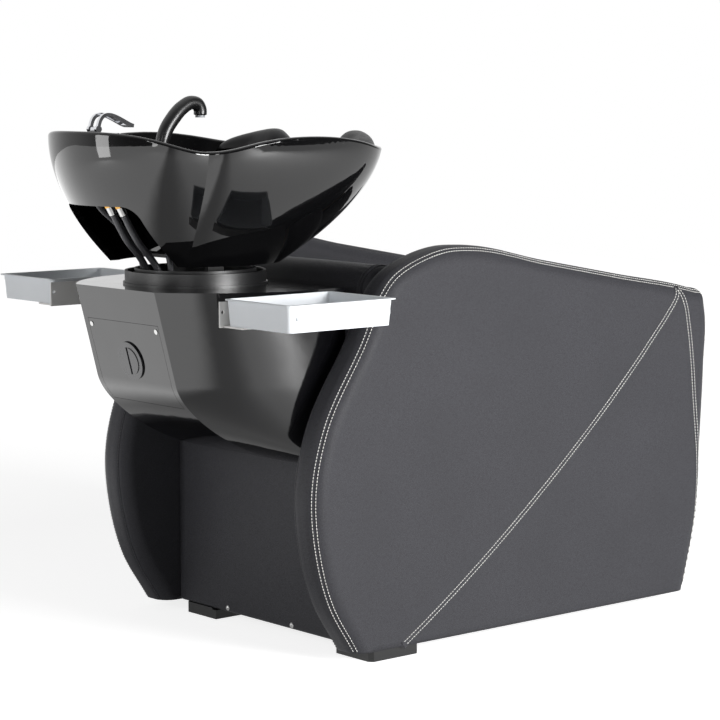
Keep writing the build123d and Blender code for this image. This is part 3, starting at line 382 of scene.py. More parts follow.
# The rim as shares of the panel's length and height, from the rear foot over the top.
PANEL_SHARES = [
    (0.094, 0.0), (0.037, 0.13), (0.008, 0.267), (0.0, 0.419), (0.025, 0.565),
    (0.105, 0.757), (0.187, 0.937), (0.252, 0.978), (0.311, 0.996), (0.366, 0.996),
    (0.55938, 0.94617), (0.75862, 0.89483), (0.952, 0.845), (0.986, 0.832), (0.9965, 0.785),
    (0.9965, 0.62), (0.9905, 0.452), (0.978, 0.21), (0.942, 0.0),
]
PANEL_FACE = 0.320
PANEL_INNER = 0.245
PANEL_THICK = PANEL_FACE - PANEL_INNER
PANEL_NOSE = 0.030
NOSE_STEPS = 26
RIM_COUNT = 620
FOOT_COUNT = 60
FACE_RINGS = 30
END_BLEND = 0.05
CORNER_SPAN = 21
SEAM_FROM_FACE = 0.0275
PIPING_FROM_INNER = 0.0335
SEAM_GROOVE = 0.0012
SEAM_HALF = 0.0022
SEAM_STEPS = np.linspace(-0.005, 0.005, 9)
FACE_MIDDLE = np.array([0.5, 0.45])
FACE_HOLE = 0.02

panel_low = np.array([-0.3595, 0.020])
panel_size = np.array([0.988, 0.694])
rim = smooth_line(panel_low + np.array(PANEL_SHARES) * panel_size, RIM_COUNT)
along = np.gradient(rim, axis=0)
outward = unit(np.stack([-along[:, 1], along[:, 0]], -1))
outward = np.stack(evened(outward.T, CORNER_SPAN), -1)
run = run_along(rim)
for distance, level in ((run, (-1.0, 0.0)), (run[-1] - run, (1.0, 0.0))):
    blend = np.clip(distance / END_BLEND, 0, 1)[:, None]
    outward = outward * blend + np.array(level) * (1 - blend)
outward = unit(outward)


def rim_at(inset):
    """The panel's closed outline in X and Z, drawn in by inset: the rim moves against its own
    outward direction, and the foot line joins its two ends."""
    edge = rim - inset * outward
    foot = np.linspace(edge[-1], edge[0], FOOT_COUNT + 2)[1:-1]
    return np.concatenate([edge, foot])


def nose_profile(offset):
    """Inset and distance from the outer face, at a distance along the bull nose: a quarter
    round, a flat of what the thickness leaves, and a quarter round back to the inner face."""
    quarter = math.pi / 2 * PANEL_NOSE
    flat = PANEL_THICK - 2 * PANEL_NOSE
    first = np.clip(offset / PANEL_NOSE, 0, math.pi / 2)
    last = np.clip((offset - quarter - flat) / PANEL_NOSE, 0, math.pi / 2)
    middle = np.clip(offset - quarter, 0, flat)
    inset = PANEL_NOSE * (2 - np.sin(first) - np.cos(last))
    depth = PANEL_NOSE * (1 - np.cos(first) + np.sin(last)) + middle
    return inset, depth


nose_length = PANEL_THICK + (math.pi - 2) * PANEL_NOSE
seams_at = (SEAM_FROM_FACE, nose_length - PIPING_FROM_INNER)


def panel_piece(name, side):
    """One side panel: rings over the outer face, round the bull nose and over the inner face.
    Each seam is a groove: the inset grows by a bell curve of the distance from the seam."""
    centre = panel_low + panel_size * FACE_MIDDLE
    shares = np.linspace(FACE_HOLE, 1, FACE_RINGS)

    def face(share, y):
        return np.insert(centre + share * (rim_at(PANEL_NOSE) - centre), 1, side * y, axis=1)

    close = [at + step for at in seams_at for step in SEAM_STEPS]
    even = np.linspace(0, nose_length, NOSE_STEPS)
    rings = [face(share, PANEL_FACE) for share in shares[:-1]]
    for offset in np.unique(np.round(np.concatenate([even, close]), 5)):
        inset, depth = nose_profile(offset)
        inset += SEAM_GROOVE * sum(bell(offset - at, SEAM_HALF) for at in seams_at)
        rings.append(np.insert(rim_at(inset), 1, side * (PANEL_FACE - depth), axis=1))
    rings += [face(share, PANEL_INNER) for share in shares[-2::-1]]
    return closed_skin(name, np.array(rings), leather)


# White topstitching: single stitches of bonded thread, each a short twisted bar that dips
# into the leatherette at both ends.
STITCH_PITCH = 0.0058
STITCH_LENGTH = 0.0047
THREAD_RADIUS = 0.0008
STITCH_SIDES = 6
STITCH_RINGS = 5
STITCH_WAIST = 0.8
STITCH_PROUD = 0.6
TWIST = 0.8 * MM
thread, *parts = shader("white bonded nylon thread", "#dcdbd7", 0.55)
noise_layer(*parts, TWIST, 1.0, dent=(0.5, 0.2 * MM), tones=("#c4c3bd", "#f0efec"))
dark_thread, *parts = shader("grey bonded nylon thread", "#4a4a4d", 0.5)
noise_layer(*parts, TWIST, 1.0, dent=(0.5, 0.2 * MM))


def stitch_row(name, line, normals, body, yarn=thread):
    """Stitches at an even pitch along a line: each is a row of rings along the tangent, lower
    by the square of the place along it and thinner at both ends, where it sinks in."""
    run = run_along(line)
    at = np.arange(STITCH_PITCH, run[-1] - STITCH_PITCH, STITCH_PITCH)
    place = at_distances(at, run, line)
    normal = at_distances(at, run, normals)
    tangent = unit(at_distances(at + STITCH_PITCH / 2, run, line) - place)
    normal = unit(normal - np.einsum("ij,ij->i", normal, tangent)[:, None] * tangent)
    share = np.linspace(-1, 1, STITCH_RINGS)[:, None]
    swell = np.sqrt(1 - STITCH_WAIST * share**2) * THREAD_RADIUS
    turn = np.linspace(0, 2 * math.pi, STITCH_SIDES, endpoint=False)
    rise = (STITCH_PROUD - share**2) * THREAD_RADIUS
    bar = [share * STITCH_LENGTH / 2, swell * np.cos(turn), swell * np.sin(turn) + rise]
    bar = np.stack(np.broadcast_arrays(*bar), -1)
    axes = np.stack([tangent, np.cross(tangent, normal), normal], 1)
    bars = place[:, None, None] + np.einsum("rsk,nkj->nrsj", bar, axes)
    count = STITCH_RINGS * STITCH_SIDES
    quads = grid_quads(STITCH_RINGS, STITCH_SIDES)
    starts = (np.arange(len(at)) * count)[:, None, None]
    faces = (quads[None] + starts).reshape(-1, 4).tolist()
    ends = np.stack([np.arange(STITCH_SIDES)[::-1], np.arange(count - STITCH_SIDES, count)])
    faces += (ends[None] + starts).reshape(-1, STITCH_SIDES).tolist()
    row = piece_of(name, bars, faces, yarn)
    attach(row, body)


# Seams of the outer face, as points ahead of the middle of the unit and above the floor. Both
# start at the rim's seam, and the front one follows the front edge down to the foot.
DIAGONAL_SEAM = [
    (0.536, 0.6075), (0.528, 0.5905), (0.5032, 0.5598), (0.4654, 0.5205), (0.4233, 0.4781),
    (0.3497, 0.4087), (0.2329, 0.3077), (0.1522, 0.2425), (0.0694, 0.1791), (-0.0166, 0.1176),
    (-0.1055, 0.0582), (-0.164, 0.0215),
]
FRONT_SEAM = [
    (0.536, 0.6075), (0.544, 0.594), (0.5544, 0.5719), (0.5626, 0.5369), (0.5739, 0.4668),
    (0.5823, 0.3887), (0.5885, 0.336), (0.5945, 0.285), (0.5966, 0.245), (0.5964, 0.2118),
    (0.5945, 0.17), (0.588, 0.122), (0.5745, 0.07), (0.562, 0.03),
]
LAP_HALF = 0.0080
LAP_HEIGHT = 0.0010
LAP_DIP = 0.14
LAP_VALLEY = 0.75
LAP_COLUMNS = 17
SEAM_COUNT = 260
STEEPEST = 0.98
LAP_SUNK = 0.0008
LAP_TUCK = 0.0001
ROW_APART = 0.0072
ROW_PROUD = 0.0003


def panel_face(points, side):
    """Points in X and Z brought onto the panel's outer side: nearer to the rim than the bull
    nose's radius, the depth is that of a quarter round, and the rest is flat. Also gives how
    much of the surface's direction lies in the panel's plane, and where that points."""
    apart = points[..., None, :] - rim[::4]
    distance = np.linalg.norm(apart, axis=-1)
    nearest = np.argmin(distance, axis=-1)
    inset = np.min(distance, axis=-1)
    sine = np.clip(1 - inset / PANEL_NOSE, 0, STEEPEST)
    depth = PANEL_NOSE * (1 - np.sqrt(1 - sine**2))
    placed = np.insert(points, 1, side * (PANEL_FACE - depth), axis=-1)
    flat = outward[::4][nearest] * sine[..., None]
    return placed, np.insert(flat, 1, side * np.sqrt(1 - sine**2), axis=-1)


def lap_seam(name, seam, side):
    """A seam where one sheet laps the other: a low ribbon along the line whose height is a
    double hump over its width, with a stitch row on each hump."""
    line = smooth_line(seam, SEAM_COUNT)
    tangent = unit(np.gradient(line, axis=0))
    across = np.stack([-tangent[:, 1], tangent[:, 0]], -1)
    share = np.linspace(-1, 1, LAP_COLUMNS)
    height = LAP_HEIGHT * (1 - share**4) * (1 - LAP_VALLEY * bell(share, LAP_DIP)) - LAP_TUCK
    flat = line + share[:, None, None] * LAP_HALF * across
    skin, normal = panel_face(flat, side)
    over = skin + height[:, None, None] * normal
    under = (skin - LAP_SUNK * normal)[::-1]
    ribbon = closed_skin(name, np.concatenate([over, under]).transpose(1, 0, 2), leather)
    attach(ribbon, "base")
    for number, step in enumerate((-1, 1)):
        row, up = panel_face(line + step * ROW_APART / 2 * across, side)
        stitch_row(f"{name}_stitches_{number}", row + LAP_HEIGHT * 0.8 * up, up, "base")


def rim_stitches(name, side):
    """A row of stitches on each side of the rim's outer groove, and a dark row in its inner
    groove, standing off the bull nose."""
    outer = [SEAM_FROM_FACE - ROW_APART / 2, SEAM_FROM_FACE + ROW_APART / 2]
    yarns = (thread, thread, dark_thread)
    for number, (offset, yarn) in enumerate(zip(outer + [seams_at[1]], yarns)):
        inset, depth = nose_profile(offset)
        row = rim - (inset + ROW_PROUD) * outward
        line = np.insert(row, 1, side * (PANEL_FACE - depth), axis=1)
        lean = 1 - 2 * depth / PANEL_THICK
        normal = np.insert(outward, 1, side * lean, axis=1)
        stitch_row(f"{name}_{number}", line, normal, "base", yarn)


for side, word in ((-1, "right"), (1, "left")):
    panel = panel_piece(f"{word}_panel_cover", side)
    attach(panel, "base")
    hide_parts(f"side_panel_{word}_pad")
    rim_stitches(f"{word}_rim_stitches", side)
    lap_seam(f"{word}_diagonal_seam", DIAGONAL_SEAM, side)
    lap_seam(f"{word}_front_seam", FRONT_SEAM, side)


# Back panel: a thin foam-backed board in the same leatherette, drawn in at its edges where
# it meets the two side panels.
def rounded_block(low, high, radius, core=24, edge=5):
    """Points of a block with round edges: a cube's skin is clamped to the block drawn in by
    the radius, and each point stands off that by the radius along its own direction."""
    middle, reach = (low + high) / 2, (high - low) / 2

    def steps(axis):
        inner = np.linspace(radius - reach[axis], reach[axis] - radius, core)
        rise = radius * np.tan(np.linspace(0, math.pi / 4, edge + 1)[1:])
        return np.concatenate([(inner[0] - rise)[::-1], inner, inner[-1] + rise])

    grids = []
    for axis in range(3):
        one, two = (axis + 1) % 3, (axis + 2) % 3
        a, b = np.meshgrid(steps(one), steps(two), indexing="ij")
        for sign in (-1, 1):
            at = np.empty(a.shape + (3,))
            at[..., axis], at[..., one], at[..., two] = sign * reach[axis], a, b
            core_point = np.clip(at, radius - reach, reach - radius)
            grids.append(middle + core_point + radius * unit(at - core_point))
    return grids


def block_piece(name, grids, finish):
    """One closed mesh from the six sides of a rounded block, with doubled points merged."""
    count = grids[0].shape[0]
    quads = grid_quads(count, count, wrap=False)
    faces = np.concatenate([quads + n * count * count for n in range(len(grids))])
    piece = piece_of(name, np.array(grids), faces.tolist(), finish)
    form = bmesh.new()
    form.from_mesh(piece.data)
    bmesh.ops.remove_doubles(form, verts=form.verts, dist=1e-5)
    bmesh.ops.recalc_face_normals(form, faces=form.faces)
    form.to_mesh(piece.data)
    form.free()
    return piece


BOARD_CROWN = 0.0022
BOARD_FULLNESS = 0.4
BACK_ROUND = 0.006


def board_cover(name, box, edge, side):
    """A board's cover: a block with round edges whose seen side, the low or the high one in X,
    swells by the product of a parabola across and one upwards, to the power 0.4."""
    low, high = np.array(box)
    grids = rounded_block(low, high, edge)
    for grid in grids:
        share = (grid - low) / (high - low)
        crown = np.prod(4 * share * (1 - share), axis=-1, where=[False, True, True]).clip(0, 1)
        swell = side * BOARD_CROWN * crown**BOARD_FULLNESS
        grid[..., 0] += np.where(side * (share[..., 0] - 0.5) > 0, swell, 0)
    return block_piece(name, grids, leather)


back_cover = board_cover("back_panel_cover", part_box("back_panel"), BACK_ROUND, -1)
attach(back_cover, "base")
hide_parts("back_panel")


# The back panel's two caps are pressed stainless steel, brushed round and then lacquered.
BRUSH = 0.7 * MM
steel, tree, surface, place = shader("brushed stainless steel", "#a9a9a8", 0.3, 1.0)
drawn = add_node(tree, "Mapping", inputs={"Scale": (1.0, 0.05, 1.0)}, links={"Vector": place})
noise_layer(tree, surface, drawn, BRUSH, 3.0, dent=(0.15, 0.2 * MM), roughness=(0.2, 0.42))
dress(steel, "back_panel_caps")


# Seat and backrest cushions: moulded foam in leatherette covers. The covers are blown out
# over the foam by a short cloth run, and their sewn channels are pressed in afterwards.
CLOTH_FRAMES = 20
CLOTH_VOXEL = 0.006
CLOTH_PRESSURE = 4.0


def values_of(items, key, kind=float, width=1):
    """One property of all items of a mesh, a row for each item."""
    values = np.empty(len(items) * width, kind)
    items.foreach_get(key, values)
    return values.reshape(-1, width) if width > 1 else values


def inflate(piece, cap):
    """Remeshes a cover evenly, lets air pressure swell it for a few frames, and keeps each
    point within cap of where it was."""
    remesh = piece.modifiers.new("even", "REMESH")
    remesh.mode, remesh.voxel_size = "VOXEL", CLOTH_VOXEL
    bpy.context.view_layer.objects.active = piece
    piece.select_set(True)
    bpy.ops.object.modifier_apply(modifier="even")
    before = values_of(piece.data.vertices, "co", width=3)
    cloth = piece.modifiers.new("air", "CLOTH")
    cloth.settings.use_pressure = True
    cloth.settings.uniform_pressure_force = CLOTH_PRESSURE
    cloth.settings.effector_weights.gravity = 0
    for number in range(1, CLOTH_FRAMES + 1):
        scene.frame_set(number)
    bpy.ops.object.modifier_apply(modifier="air")
    move = values_of(piece.data.vertices, "co", width=3) - before
    size = np.linalg.norm(move, axis=1)[:, None]
    move *= np.minimum(1, cap / np.maximum(size, 1e-9))
    piece.data.vertices.foreach_set("co", (before + move).ravel())
    scene.frame_set(1)
    subdivide = piece.modifiers.new("fine", "SUBSURF")
    subdivide.levels = subdivide.render_levels = 1
    bpy.ops.object.modifier_apply(modifier="fine")
    piece.data.shade_smooth()
    piece.select_set(False)


def reshape(piece, change):
    """Gives a piece the points that a function makes of its own."""
    points = values_of(piece.data.vertices, "co", width=3)
    piece.data.vertices.foreach_set("co", change(points).ravel())
    piece.data.update()


CUSHION_SWELL = 0.006
CHANNEL_HALF = 0.006
EDGE_PLAY = 0.0005
SEAT_CROWN = 0.012
SEAT_CHANNELS = (0.62, 0.86)
SEAT_ROUND = 0.030
SEAT_STRETCH = 0.014
SEAT_CHANNEL_DEPTH = 0.006
seat_low, seat_high = np.array(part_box("seat_cushion"))
grids = rounded_block(seat_low + CUSHION_SWELL, seat_high - CUSHION_SWELL, SEAT_ROUND)
seat_cover = block_piece("seat_cushion_cover", grids, leather)
inflate(seat_cover, SEAT_STRETCH)


def seat_form(points):
    """Crowns the seat, sinks two sewn lines across it by bell curves, and keeps its foot flat."""
    x, y, z = points.T
    share = (y / seat_high[1]) ** 2
    top = np.clip((z - seat_low[2]) / (seat_high[2] - seat_low[2]), 0, 1)
    z = z - SEAT_CROWN * share * top
    for at in SEAT_CHANNELS:
        line = seat_low[0] + at * (seat_high[0] - seat_low[0])
        z = z - SEAT_CHANNEL_DEPTH * bell(x - line, CHANNEL_HALF) * (top > 0.6)
    z = np.clip(z, seat_low[2] + 0.0002, seat_high[2] + 0.004)
    y = np.clip(y, seat_low[1] + EDGE_PLAY, seat_high[1] - EDGE_PLAY)
    return np.stack([x, y, z], -1)


reshape(seat_cover, seat_form)
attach(seat_cover, "base")
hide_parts("seat_cushion")


# Front apron: a leatherette-covered board under the seat's front edge, whose seen side swells
# like the back panel's.
APRON_ROUND = 0.005
apron = board_cover("front_apron_cover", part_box("front_apron"), APRON_ROUND, 1)
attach(apron, "base")
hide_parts("front_apron")


# Backrest: the same foam and leatherette on a plywood board that leans back from the seat,
# with three sewn channels across.
BACKREST_LEAN = math.radians(28)
BACKREST_FOOT = np.array([-0.0140, 0.0, 0.3550])
BACKREST_LENGTH = 0.255
BACKREST_THICK = 0.070
BACKREST_HALF = 0.2435
BACKREST_CROWN = 0.010
BACKREST_ROUND = 0.026
BACKREST_STRETCH = 0.012
BACKREST_CHANNEL_DEPTH = 0.007
lean_up = np.array([-math.sin(BACKREST_LEAN), 0, math.cos(BACKREST_LEAN)])
lean_out = np.array([math.cos(BACKREST_LEAN), 0, math.sin(BACKREST_LEAN)])
upright = rounded_block(
    np.array([EDGE_PLAY, -BACKREST_HALF, 0.0]) + CUSHION_SWELL,
    np.array([BACKREST_THICK, BACKREST_HALF, BACKREST_LENGTH]) - CUSHION_SWELL,
    BACKREST_ROUND,
)
backrest_cover = block_piece("backrest_cushion_cover", upright, leather)
inflate(backrest_cover, BACKREST_STRETCH)


def backrest_form(points):
    """Crowns the cushion, sinks its three sewn channels, and leans it back on its board."""
    out, y, up = points.T
    front = np.clip(out / BACKREST_THICK, 0, 1)
    out = out - BACKREST_CROWN * (y / BACKREST_HALF) ** 2 * front
    for number in range(3):
        line = (number + 1) * BACKREST_LENGTH / 4
        out = out - BACKREST_CHANNEL_DEPTH * bell(up - line, CHANNEL_HALF) * (front > 0.5)
    out = np.clip(out, EDGE_PLAY, BACKREST_THICK)[:, None] * lean_out
    up = np.clip(up, EDGE_PLAY, BACKREST_LENGTH - EDGE_PLAY)[:, None] * lean_up
    y = np.clip(y, EDGE_PLAY - BACKREST_HALF, BACKREST_HALF - EDGE_PLAY)
    return BACKREST_FOOT + out + up + y[:, None] * np.array([0, 1, 0])


reshape(backrest_cover, backrest_form)
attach(backrest_cover, "base")
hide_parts("backrest_cushion")


# Head roll: a stuffed tube along the top of the backrest, with a disc sewn into each end and
# piping on both sides of that seam.
ROLL_RADIUS = 0.048
ROLL_HALF = 0.2430
ROLL_SEAMS = (0.2235, 0.2310)
ROLL_SEAM_DEPTH = 0.0018
ROLL_SEAM_HALF = 0.0022
ROLL_END = 0.014
ROLL_SLIM = 0.035
ROLL_COUNT = 241
ROLL_SIDES = 96
PUCKERS = 22
PUCKER_DEPTH = 0.0005
PUCKER_PLACE = 0.214
PUCKER_REACH = 0.010
X_WAY, Y_WAY, Z_WAY = np.eye(3)[:, None]


def rings_round(centres, first, second, radius, sides):
    """A ring of points round each centre: the radius times the cosine of an angle along the
    first direction, and times its sine along the second."""
    turn = np.linspace(0, 2 * math.pi, sides, endpoint=False)[:, None]
    spokes = np.cos(turn) * first[:, None] + np.sin(turn) * second[:, None]
    return centres[:, None] + radius * spokes


roll_centre = np.mean(np.array(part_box("head_roll")), axis=0)
share = np.linspace(-1, 1, ROLL_COUNT)
along = ROLL_HALF * share
out = np.abs(along)
end = np.clip((out - ROLL_HALF + ROLL_END) / ROLL_END, 0, 1)
radius = ROLL_RADIUS * (1 - ROLL_SLIM * np.abs(share) ** 3)
radius -= ROLL_END * (1 - np.sqrt(1 - np.minimum(end, 0.999) ** 2))
for seam in ROLL_SEAMS:
    radius -= ROLL_SEAM_DEPTH * bell(out - seam, ROLL_SEAM_HALF)
angle = np.linspace(0, 2 * math.pi, ROLL_SIDES, endpoint=False)
pucker = PUCKER_DEPTH * np.cos(PUCKERS * angle) * bell(out - PUCKER_PLACE, PUCKER_REACH)[:, None]
reach = (radius[:, None] + pucker)[..., None]
grid = rings_round(roll_centre + along[:, None] * Y_WAY, X_WAY, Z_WAY, reach, ROLL_SIDES)
roll = closed_skin("head_roll_cover", grid, leather)
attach(roll, "base")
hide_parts("head_roll")


PIPING_RADIUS = 0.0024
PIPING_SUNK = 0.0022
PIPING_COUNT = 72


def loop_tube(name, centres, normals, radius, finish, sides=10):
    """A closed tube round a closed line: rings square to it, from the line's normal and the
    cross product of that with its tangent."""
    tangent = unit(np.roll(centres, -1, axis=0) - np.roll(centres, 1, axis=0))
    points = rings_round(centres, normals, np.cross(tangent, normals), radius, sides)
    count = len(centres)
    quads = grid_quads(count + 1, sides) % (count * sides)
    return piece_of(name, points, quads[:, ::-1].tolist(), finish)


for side, word in ((-1, "right"), (1, "left")):
    for number, seam in enumerate(ROLL_SEAMS):
        spoke = rings_round(np.zeros((1, 3)), X_WAY, Z_WAY, 1, PIPING_COUNT)[0]
        ring = roll_centre + (ROLL_RADIUS - PIPING_SUNK) * spoke + side * seam * Y_WAY
        piping = loop_tube(f"{word}_roll_piping_{number}", ring, spoke, PIPING_RADIUS, leather)
        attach(piping, "base")


# Shroud: one vacuum-formed shell behind the back panel, with an access panel in its rear facet
# held by two screws and a coin lock with a black plate.
# Polished ABS: a mirror-like black whose sheet is very slightly wavy, with fine rub marks.
SHEET_WAVE = 90.0 * MM
RUB = 14.0 * MM
gloss_black, *parts = shader("polished black ABS", "#08080a", 0.07, IOR=1.53)
noise_layer(*parts, SHEET_WAVE, 1.0, dent=(0.12, 4.0 * MM))
noise_layer(*parts, RUB, 6.0, roughness=(0.04, 0.12))
dress(gloss_black, "shroud", "access_panel")
dress(steel, "access_panel_screws", "lock_cam")

# Moulded nylon for the lock's plate and barrel: greyer than the sheet, with a blurred sheen.
lock_black, *parts = shader("semi-gloss black nylon", "#242427", 0.24, IOR=1.53)
noise_layer(*parts, RUB, 3.0, roughness=(0.2, 0.32))
dress(lock_black, "lock_escutcheon", "lock_barrel")


# Collar: two turned nylon rings on the shroud's top, the inner one taller, left as machined.
# Satin nylon: a soft black with a fine even tooth.
TOOTH = 0.8 * MM
satin_black, *parts = shader("satin black nylon", "#121213", 0.4, IOR=1.53)
noise_layer(*parts, TOOTH, 2.0, dent=(0.25, 0.2 * MM), roughness=(0.33, 0.48))
dress(satin_black, "collar_outer_ring", "collar_inner_ring")


# Tilt gear: a welded bracket on the back panel, a plain steel axle, and the saddle that the
# basin is bolted to.
dress(powder, "tilt_bracket", "tilt_saddle")
dress(steel, "tilt_axle")


# Basin: fireclay cast in a mould, glazed black and fired. It stands on the saddle.
# Black glaze: a deep gloss that pools and runs a little before it sets, so reflections bend,
# with rare pinholes that only dull it.
GLAZE_RUN = 110.0 * MM
PINHOLES = 5.0 * MM
glaze, tree, surface, place = shader("black glazed fireclay", "#0a0a0b", 0.04, IOR=1.5)
noise_layer(tree, surface, place, GLAZE_RUN, 1.5, dent=(0.12, 5.0 * MM))
inputs = {"Scale": 1 / PINHOLES, "Detail": 4.0}
holes = add_node(tree, "TexNoise", inputs=inputs, links={"Vector": place})
rare = dict(zip(RANGE, (0.55, 0.9, 0.03, 0.16)))
dulled = add_node(tree, "MapRange", inputs=rare, links={"Value": holes})
join(tree, surface, {"Roughness": dulled})
dress(glaze, "basin")


# Mixer and waste: cast brass, polished and chrome plated. The mixer's nut is left plain, and
# the waste is clamped by a moulded nut and drains through a white pipe.
# Chrome plate: a bright cold mirror with faint finger smears.
SMEAR = 18.0 * MM
chrome, *parts = shader("chrome plate", "#dcdde0", 0.06, 1.0)
noise_layer(*parts, SMEAR, 5.0, roughness=(0.03, 0.13))

# Turned brass: dulled yellow with browner patches where it has been handled.
TARNISH = 9.0 * MM
brass, *parts = shader("turned brass", "#b58d4c", 0.28, 1.0)
noise_layer(*parts, TARNISH, 4.0, roughness=(0.2, 0.42), tones=("#c79c55", "#8a6534"))

# White ABS: a clean satin white, faintly uneven in gloss, with its mould's fine tooth.
SOFT = {"IOR": 1.53, "Specular IOR Level": 0.25}
white_abs, *parts = shader("white moulded ABS", "#e4e7ea", 0.4, **SOFT)
noise_layer(*parts, TOOTH, 2.0, dent=(0.15, 0.2 * MM))
noise_layer(*parts, PALM, 4.0, roughness=(0.35, 0.5), tones=("#dfe3e7", "#e9ecef"))

dress(chrome, "mixer_body", "mixer_cap", "mixer_lever", "drain_waste", "strainer")
dress(brass, "mixer_back_nut", "copper_tails", "stop_valves", "supply_nuts")
dress(satin_black, "drain_nut")
dress(white_abs, "waste_pipe")


# Hoses: two braided supply hoses, the shower's own hose in its loop, and a smooth waste hose,
# all moulded rubber inside.
HOSE_SIDES = 20
ASKEW = np.array([0.31, 0.9, 0.22])

# Braid: strands of dark polyester crossing at 45 degrees, eight each way round the hose, over
# rubber. The height is the larger of two ridges, each a sine of the place round plus or minus
# the place along.
BRAID_STRANDS = 8
braid, tree, surface, place = shader("dark polyester braid", "#1f1f21", 0.45)
flat = add_node(tree, "UVMap", {"uv_map": "along"})
ridges = []
for lean in (-1, 1):
    strands = BRAID_STRANDS * math.pi
    turn = add_node(tree, "VectorMath", DOT, {1: (strands, lean * strands, 0)}, {0: flat})
    sine = add_node(tree, "Math", {"operation": "SINE"}, links={0: turn})
    ridges.append(add_node(tree, "Math", {"operation": "ABSOLUTE"}, links={0: sine}))
woven = add_node(tree, "Math", {"operation": "MAXIMUM"}, links=dict(enumerate(ridges)))
pattern(tree, surface, woven, dent=(0.6, 0.6 * MM), tones=("#0c0c0d", "#3a3a3e"))

# Waste hose: extruded black rubber with a dusty bloom in patches.
BLOOM = 25.0 * MM
rubber, *parts = shader("extruded black rubber", "#19191a", 0.5)
noise_layer(*parts, BLOOM, 5.0, roughness=(0.4, 0.65), tones=("#141415", "#26262a"))
dress(steel, "supply_ferrules")


def tube_piece(name, line, radius, finish):
    """A tube along a smooth line: a circle in the plane of two directions square to the
    tangent, with u round it and v along it, in the hose's own circumferences."""
    tangent = unit(np.gradient(line, axis=0))
    side = unit(np.cross(tangent, ASKEW))
    grid = rings_round(line, side, np.cross(tangent, side), radius, HOSE_SIDES)
    piece = closed_skin(name, grid, finish)
    corners = values_of(piece.data.loops, "vertex_index", int)
    starts = values_of(piece.data.polygons, "loop_start", int)
    totals = values_of(piece.data.polygons, "loop_total", int)
    first = np.repeat(corners[starts], totals) % HOSE_SIDES
    u = corners % HOSE_SIDES
    u = np.where(np.abs(u - first) > HOSE_SIDES / 2, u + HOSE_SIDES * np.sign(first - u), u)
    v = run_along(line)[corners // HOSE_SIDES] / (2 * math.pi * radius)
    layer = piece.data.uv_layers.new(name="along")
    layer.data.foreach_set("uv", np.stack([u / HOSE_SIDES, v], -1).ravel())
    return piece


SUPPLY_ROUTE = [
    (-0.5303, 0.016, 0.771), (-0.517, 0.016, 0.7476), (-0.5, 0.016, 0.722), (-0.479, 0.016, 0.699),
    (-0.461, 0.018, 0.674), (-0.45, 0.021, 0.648), (-0.438, 0.026, 0.62), (-0.422, 0.033, 0.592),
    (-0.4, 0.038, 0.564), (-0.374, 0.04, 0.538), (-0.346, 0.0405, 0.509), (-0.319, 0.04, 0.482),
    (-0.291, 0.04, 0.46), (-0.262, 0.04, 0.46),
]
SHOWER_ROUTE = [
    (-0.4682, -0.03, 0.848), (-0.4728, -0.03, 0.8267), (-0.4755, -0.033, 0.803),
    (-0.474, -0.038, 0.776), (-0.469, -0.04, 0.75), (-0.461, -0.041, 0.722),
    (-0.455, -0.041, 0.694), (-0.45, -0.042, 0.666), (-0.449, -0.043, 0.638),
    (-0.451, -0.042, 0.61), (-0.453, -0.034, 0.585), (-0.455, -0.014, 0.567),
    (-0.455, 0.014, 0.566), (-0.453, 0.034, 0.584), (-0.451, 0.043, 0.61),
    (-0.449, 0.043, 0.638), (-0.45, 0.042, 0.666), (-0.457, 0.041, 0.693),
    (-0.472, 0.04, 0.718), (-0.493, 0.038, 0.74), (-0.518, 0.0365, 0.761),
    (-0.542, 0.035, 0.78), (-0.559, 0.028, 0.798), (-0.5645, 0.013, 0.813),
    (-0.5625, 0.0005, 0.826), (-0.5625, 0.0, 0.83745),
]
WASTE_ROUTE = [
    (-0.3265, 0.0, 0.655), (-0.326, 0.0, 0.606), (-0.3259, 0.0, 0.556), (-0.3255, 0.0, 0.507),
    (-0.3118, 0.0, 0.4713), (-0.2847, 0.0, 0.4442), (-0.2492, 0.0, 0.431), (-0.23, 0.0, 0.43),
]
SUPPLY_RADIUS = 0.006
SHOWER_RADIUS = 0.005
WASTE_RADIUS = 0.016
for side in (-1, 1):
    route = np.array(SUPPLY_ROUTE) * np.array([1, side, 1])
    hose = tube_piece(f"supply_hose_{side + 1}", smooth_line(route, 260), SUPPLY_RADIUS, braid)
    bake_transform(hose)
    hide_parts("supply_hoses")

# The shower's hose in two pieces, split where its line first falls below a height: the upper run
# and the loop below.
SHOWER_SPLIT = 0.70
shower_line = smooth_line(SHOWER_ROUTE, 420)
split = int(np.argmax(shower_line[:, 2] < SHOWER_SPLIT))
pulled = tube_piece("shower_hose_pulled_run", shower_line[: split + 1], SHOWER_RADIUS, braid)
looped = tube_piece("shower_hose_loop", shower_line[split:], SHOWER_RADIUS, braid)
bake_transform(pulled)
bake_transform(looped)
for hose_run in (pulled, looped):
    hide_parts("shower_hose")
waste = tube_piece("waste_hose_tube", smooth_line(WASTE_ROUTE, 160), WASTE_RADIUS, rubber)
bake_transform(waste)
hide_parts("waste_hose")


# Hand shower: a moulded gooseneck with a grey spray plate, standing in a nylon bush that is
# pressed into the rear deck.
# Satin polycarbonate: black and smooth, a touch softer than the shroud.
shower_black, *parts = shader("satin black polycarbonate", "#0e0e0f", 0.3, IOR=1.58)
noise_layer(*parts, TOOTH, 2.0, dent=(0.03, 0.2 * MM))
noise_layer(*parts, SMEAR, 4.0, roughness=(0.26, 0.4))

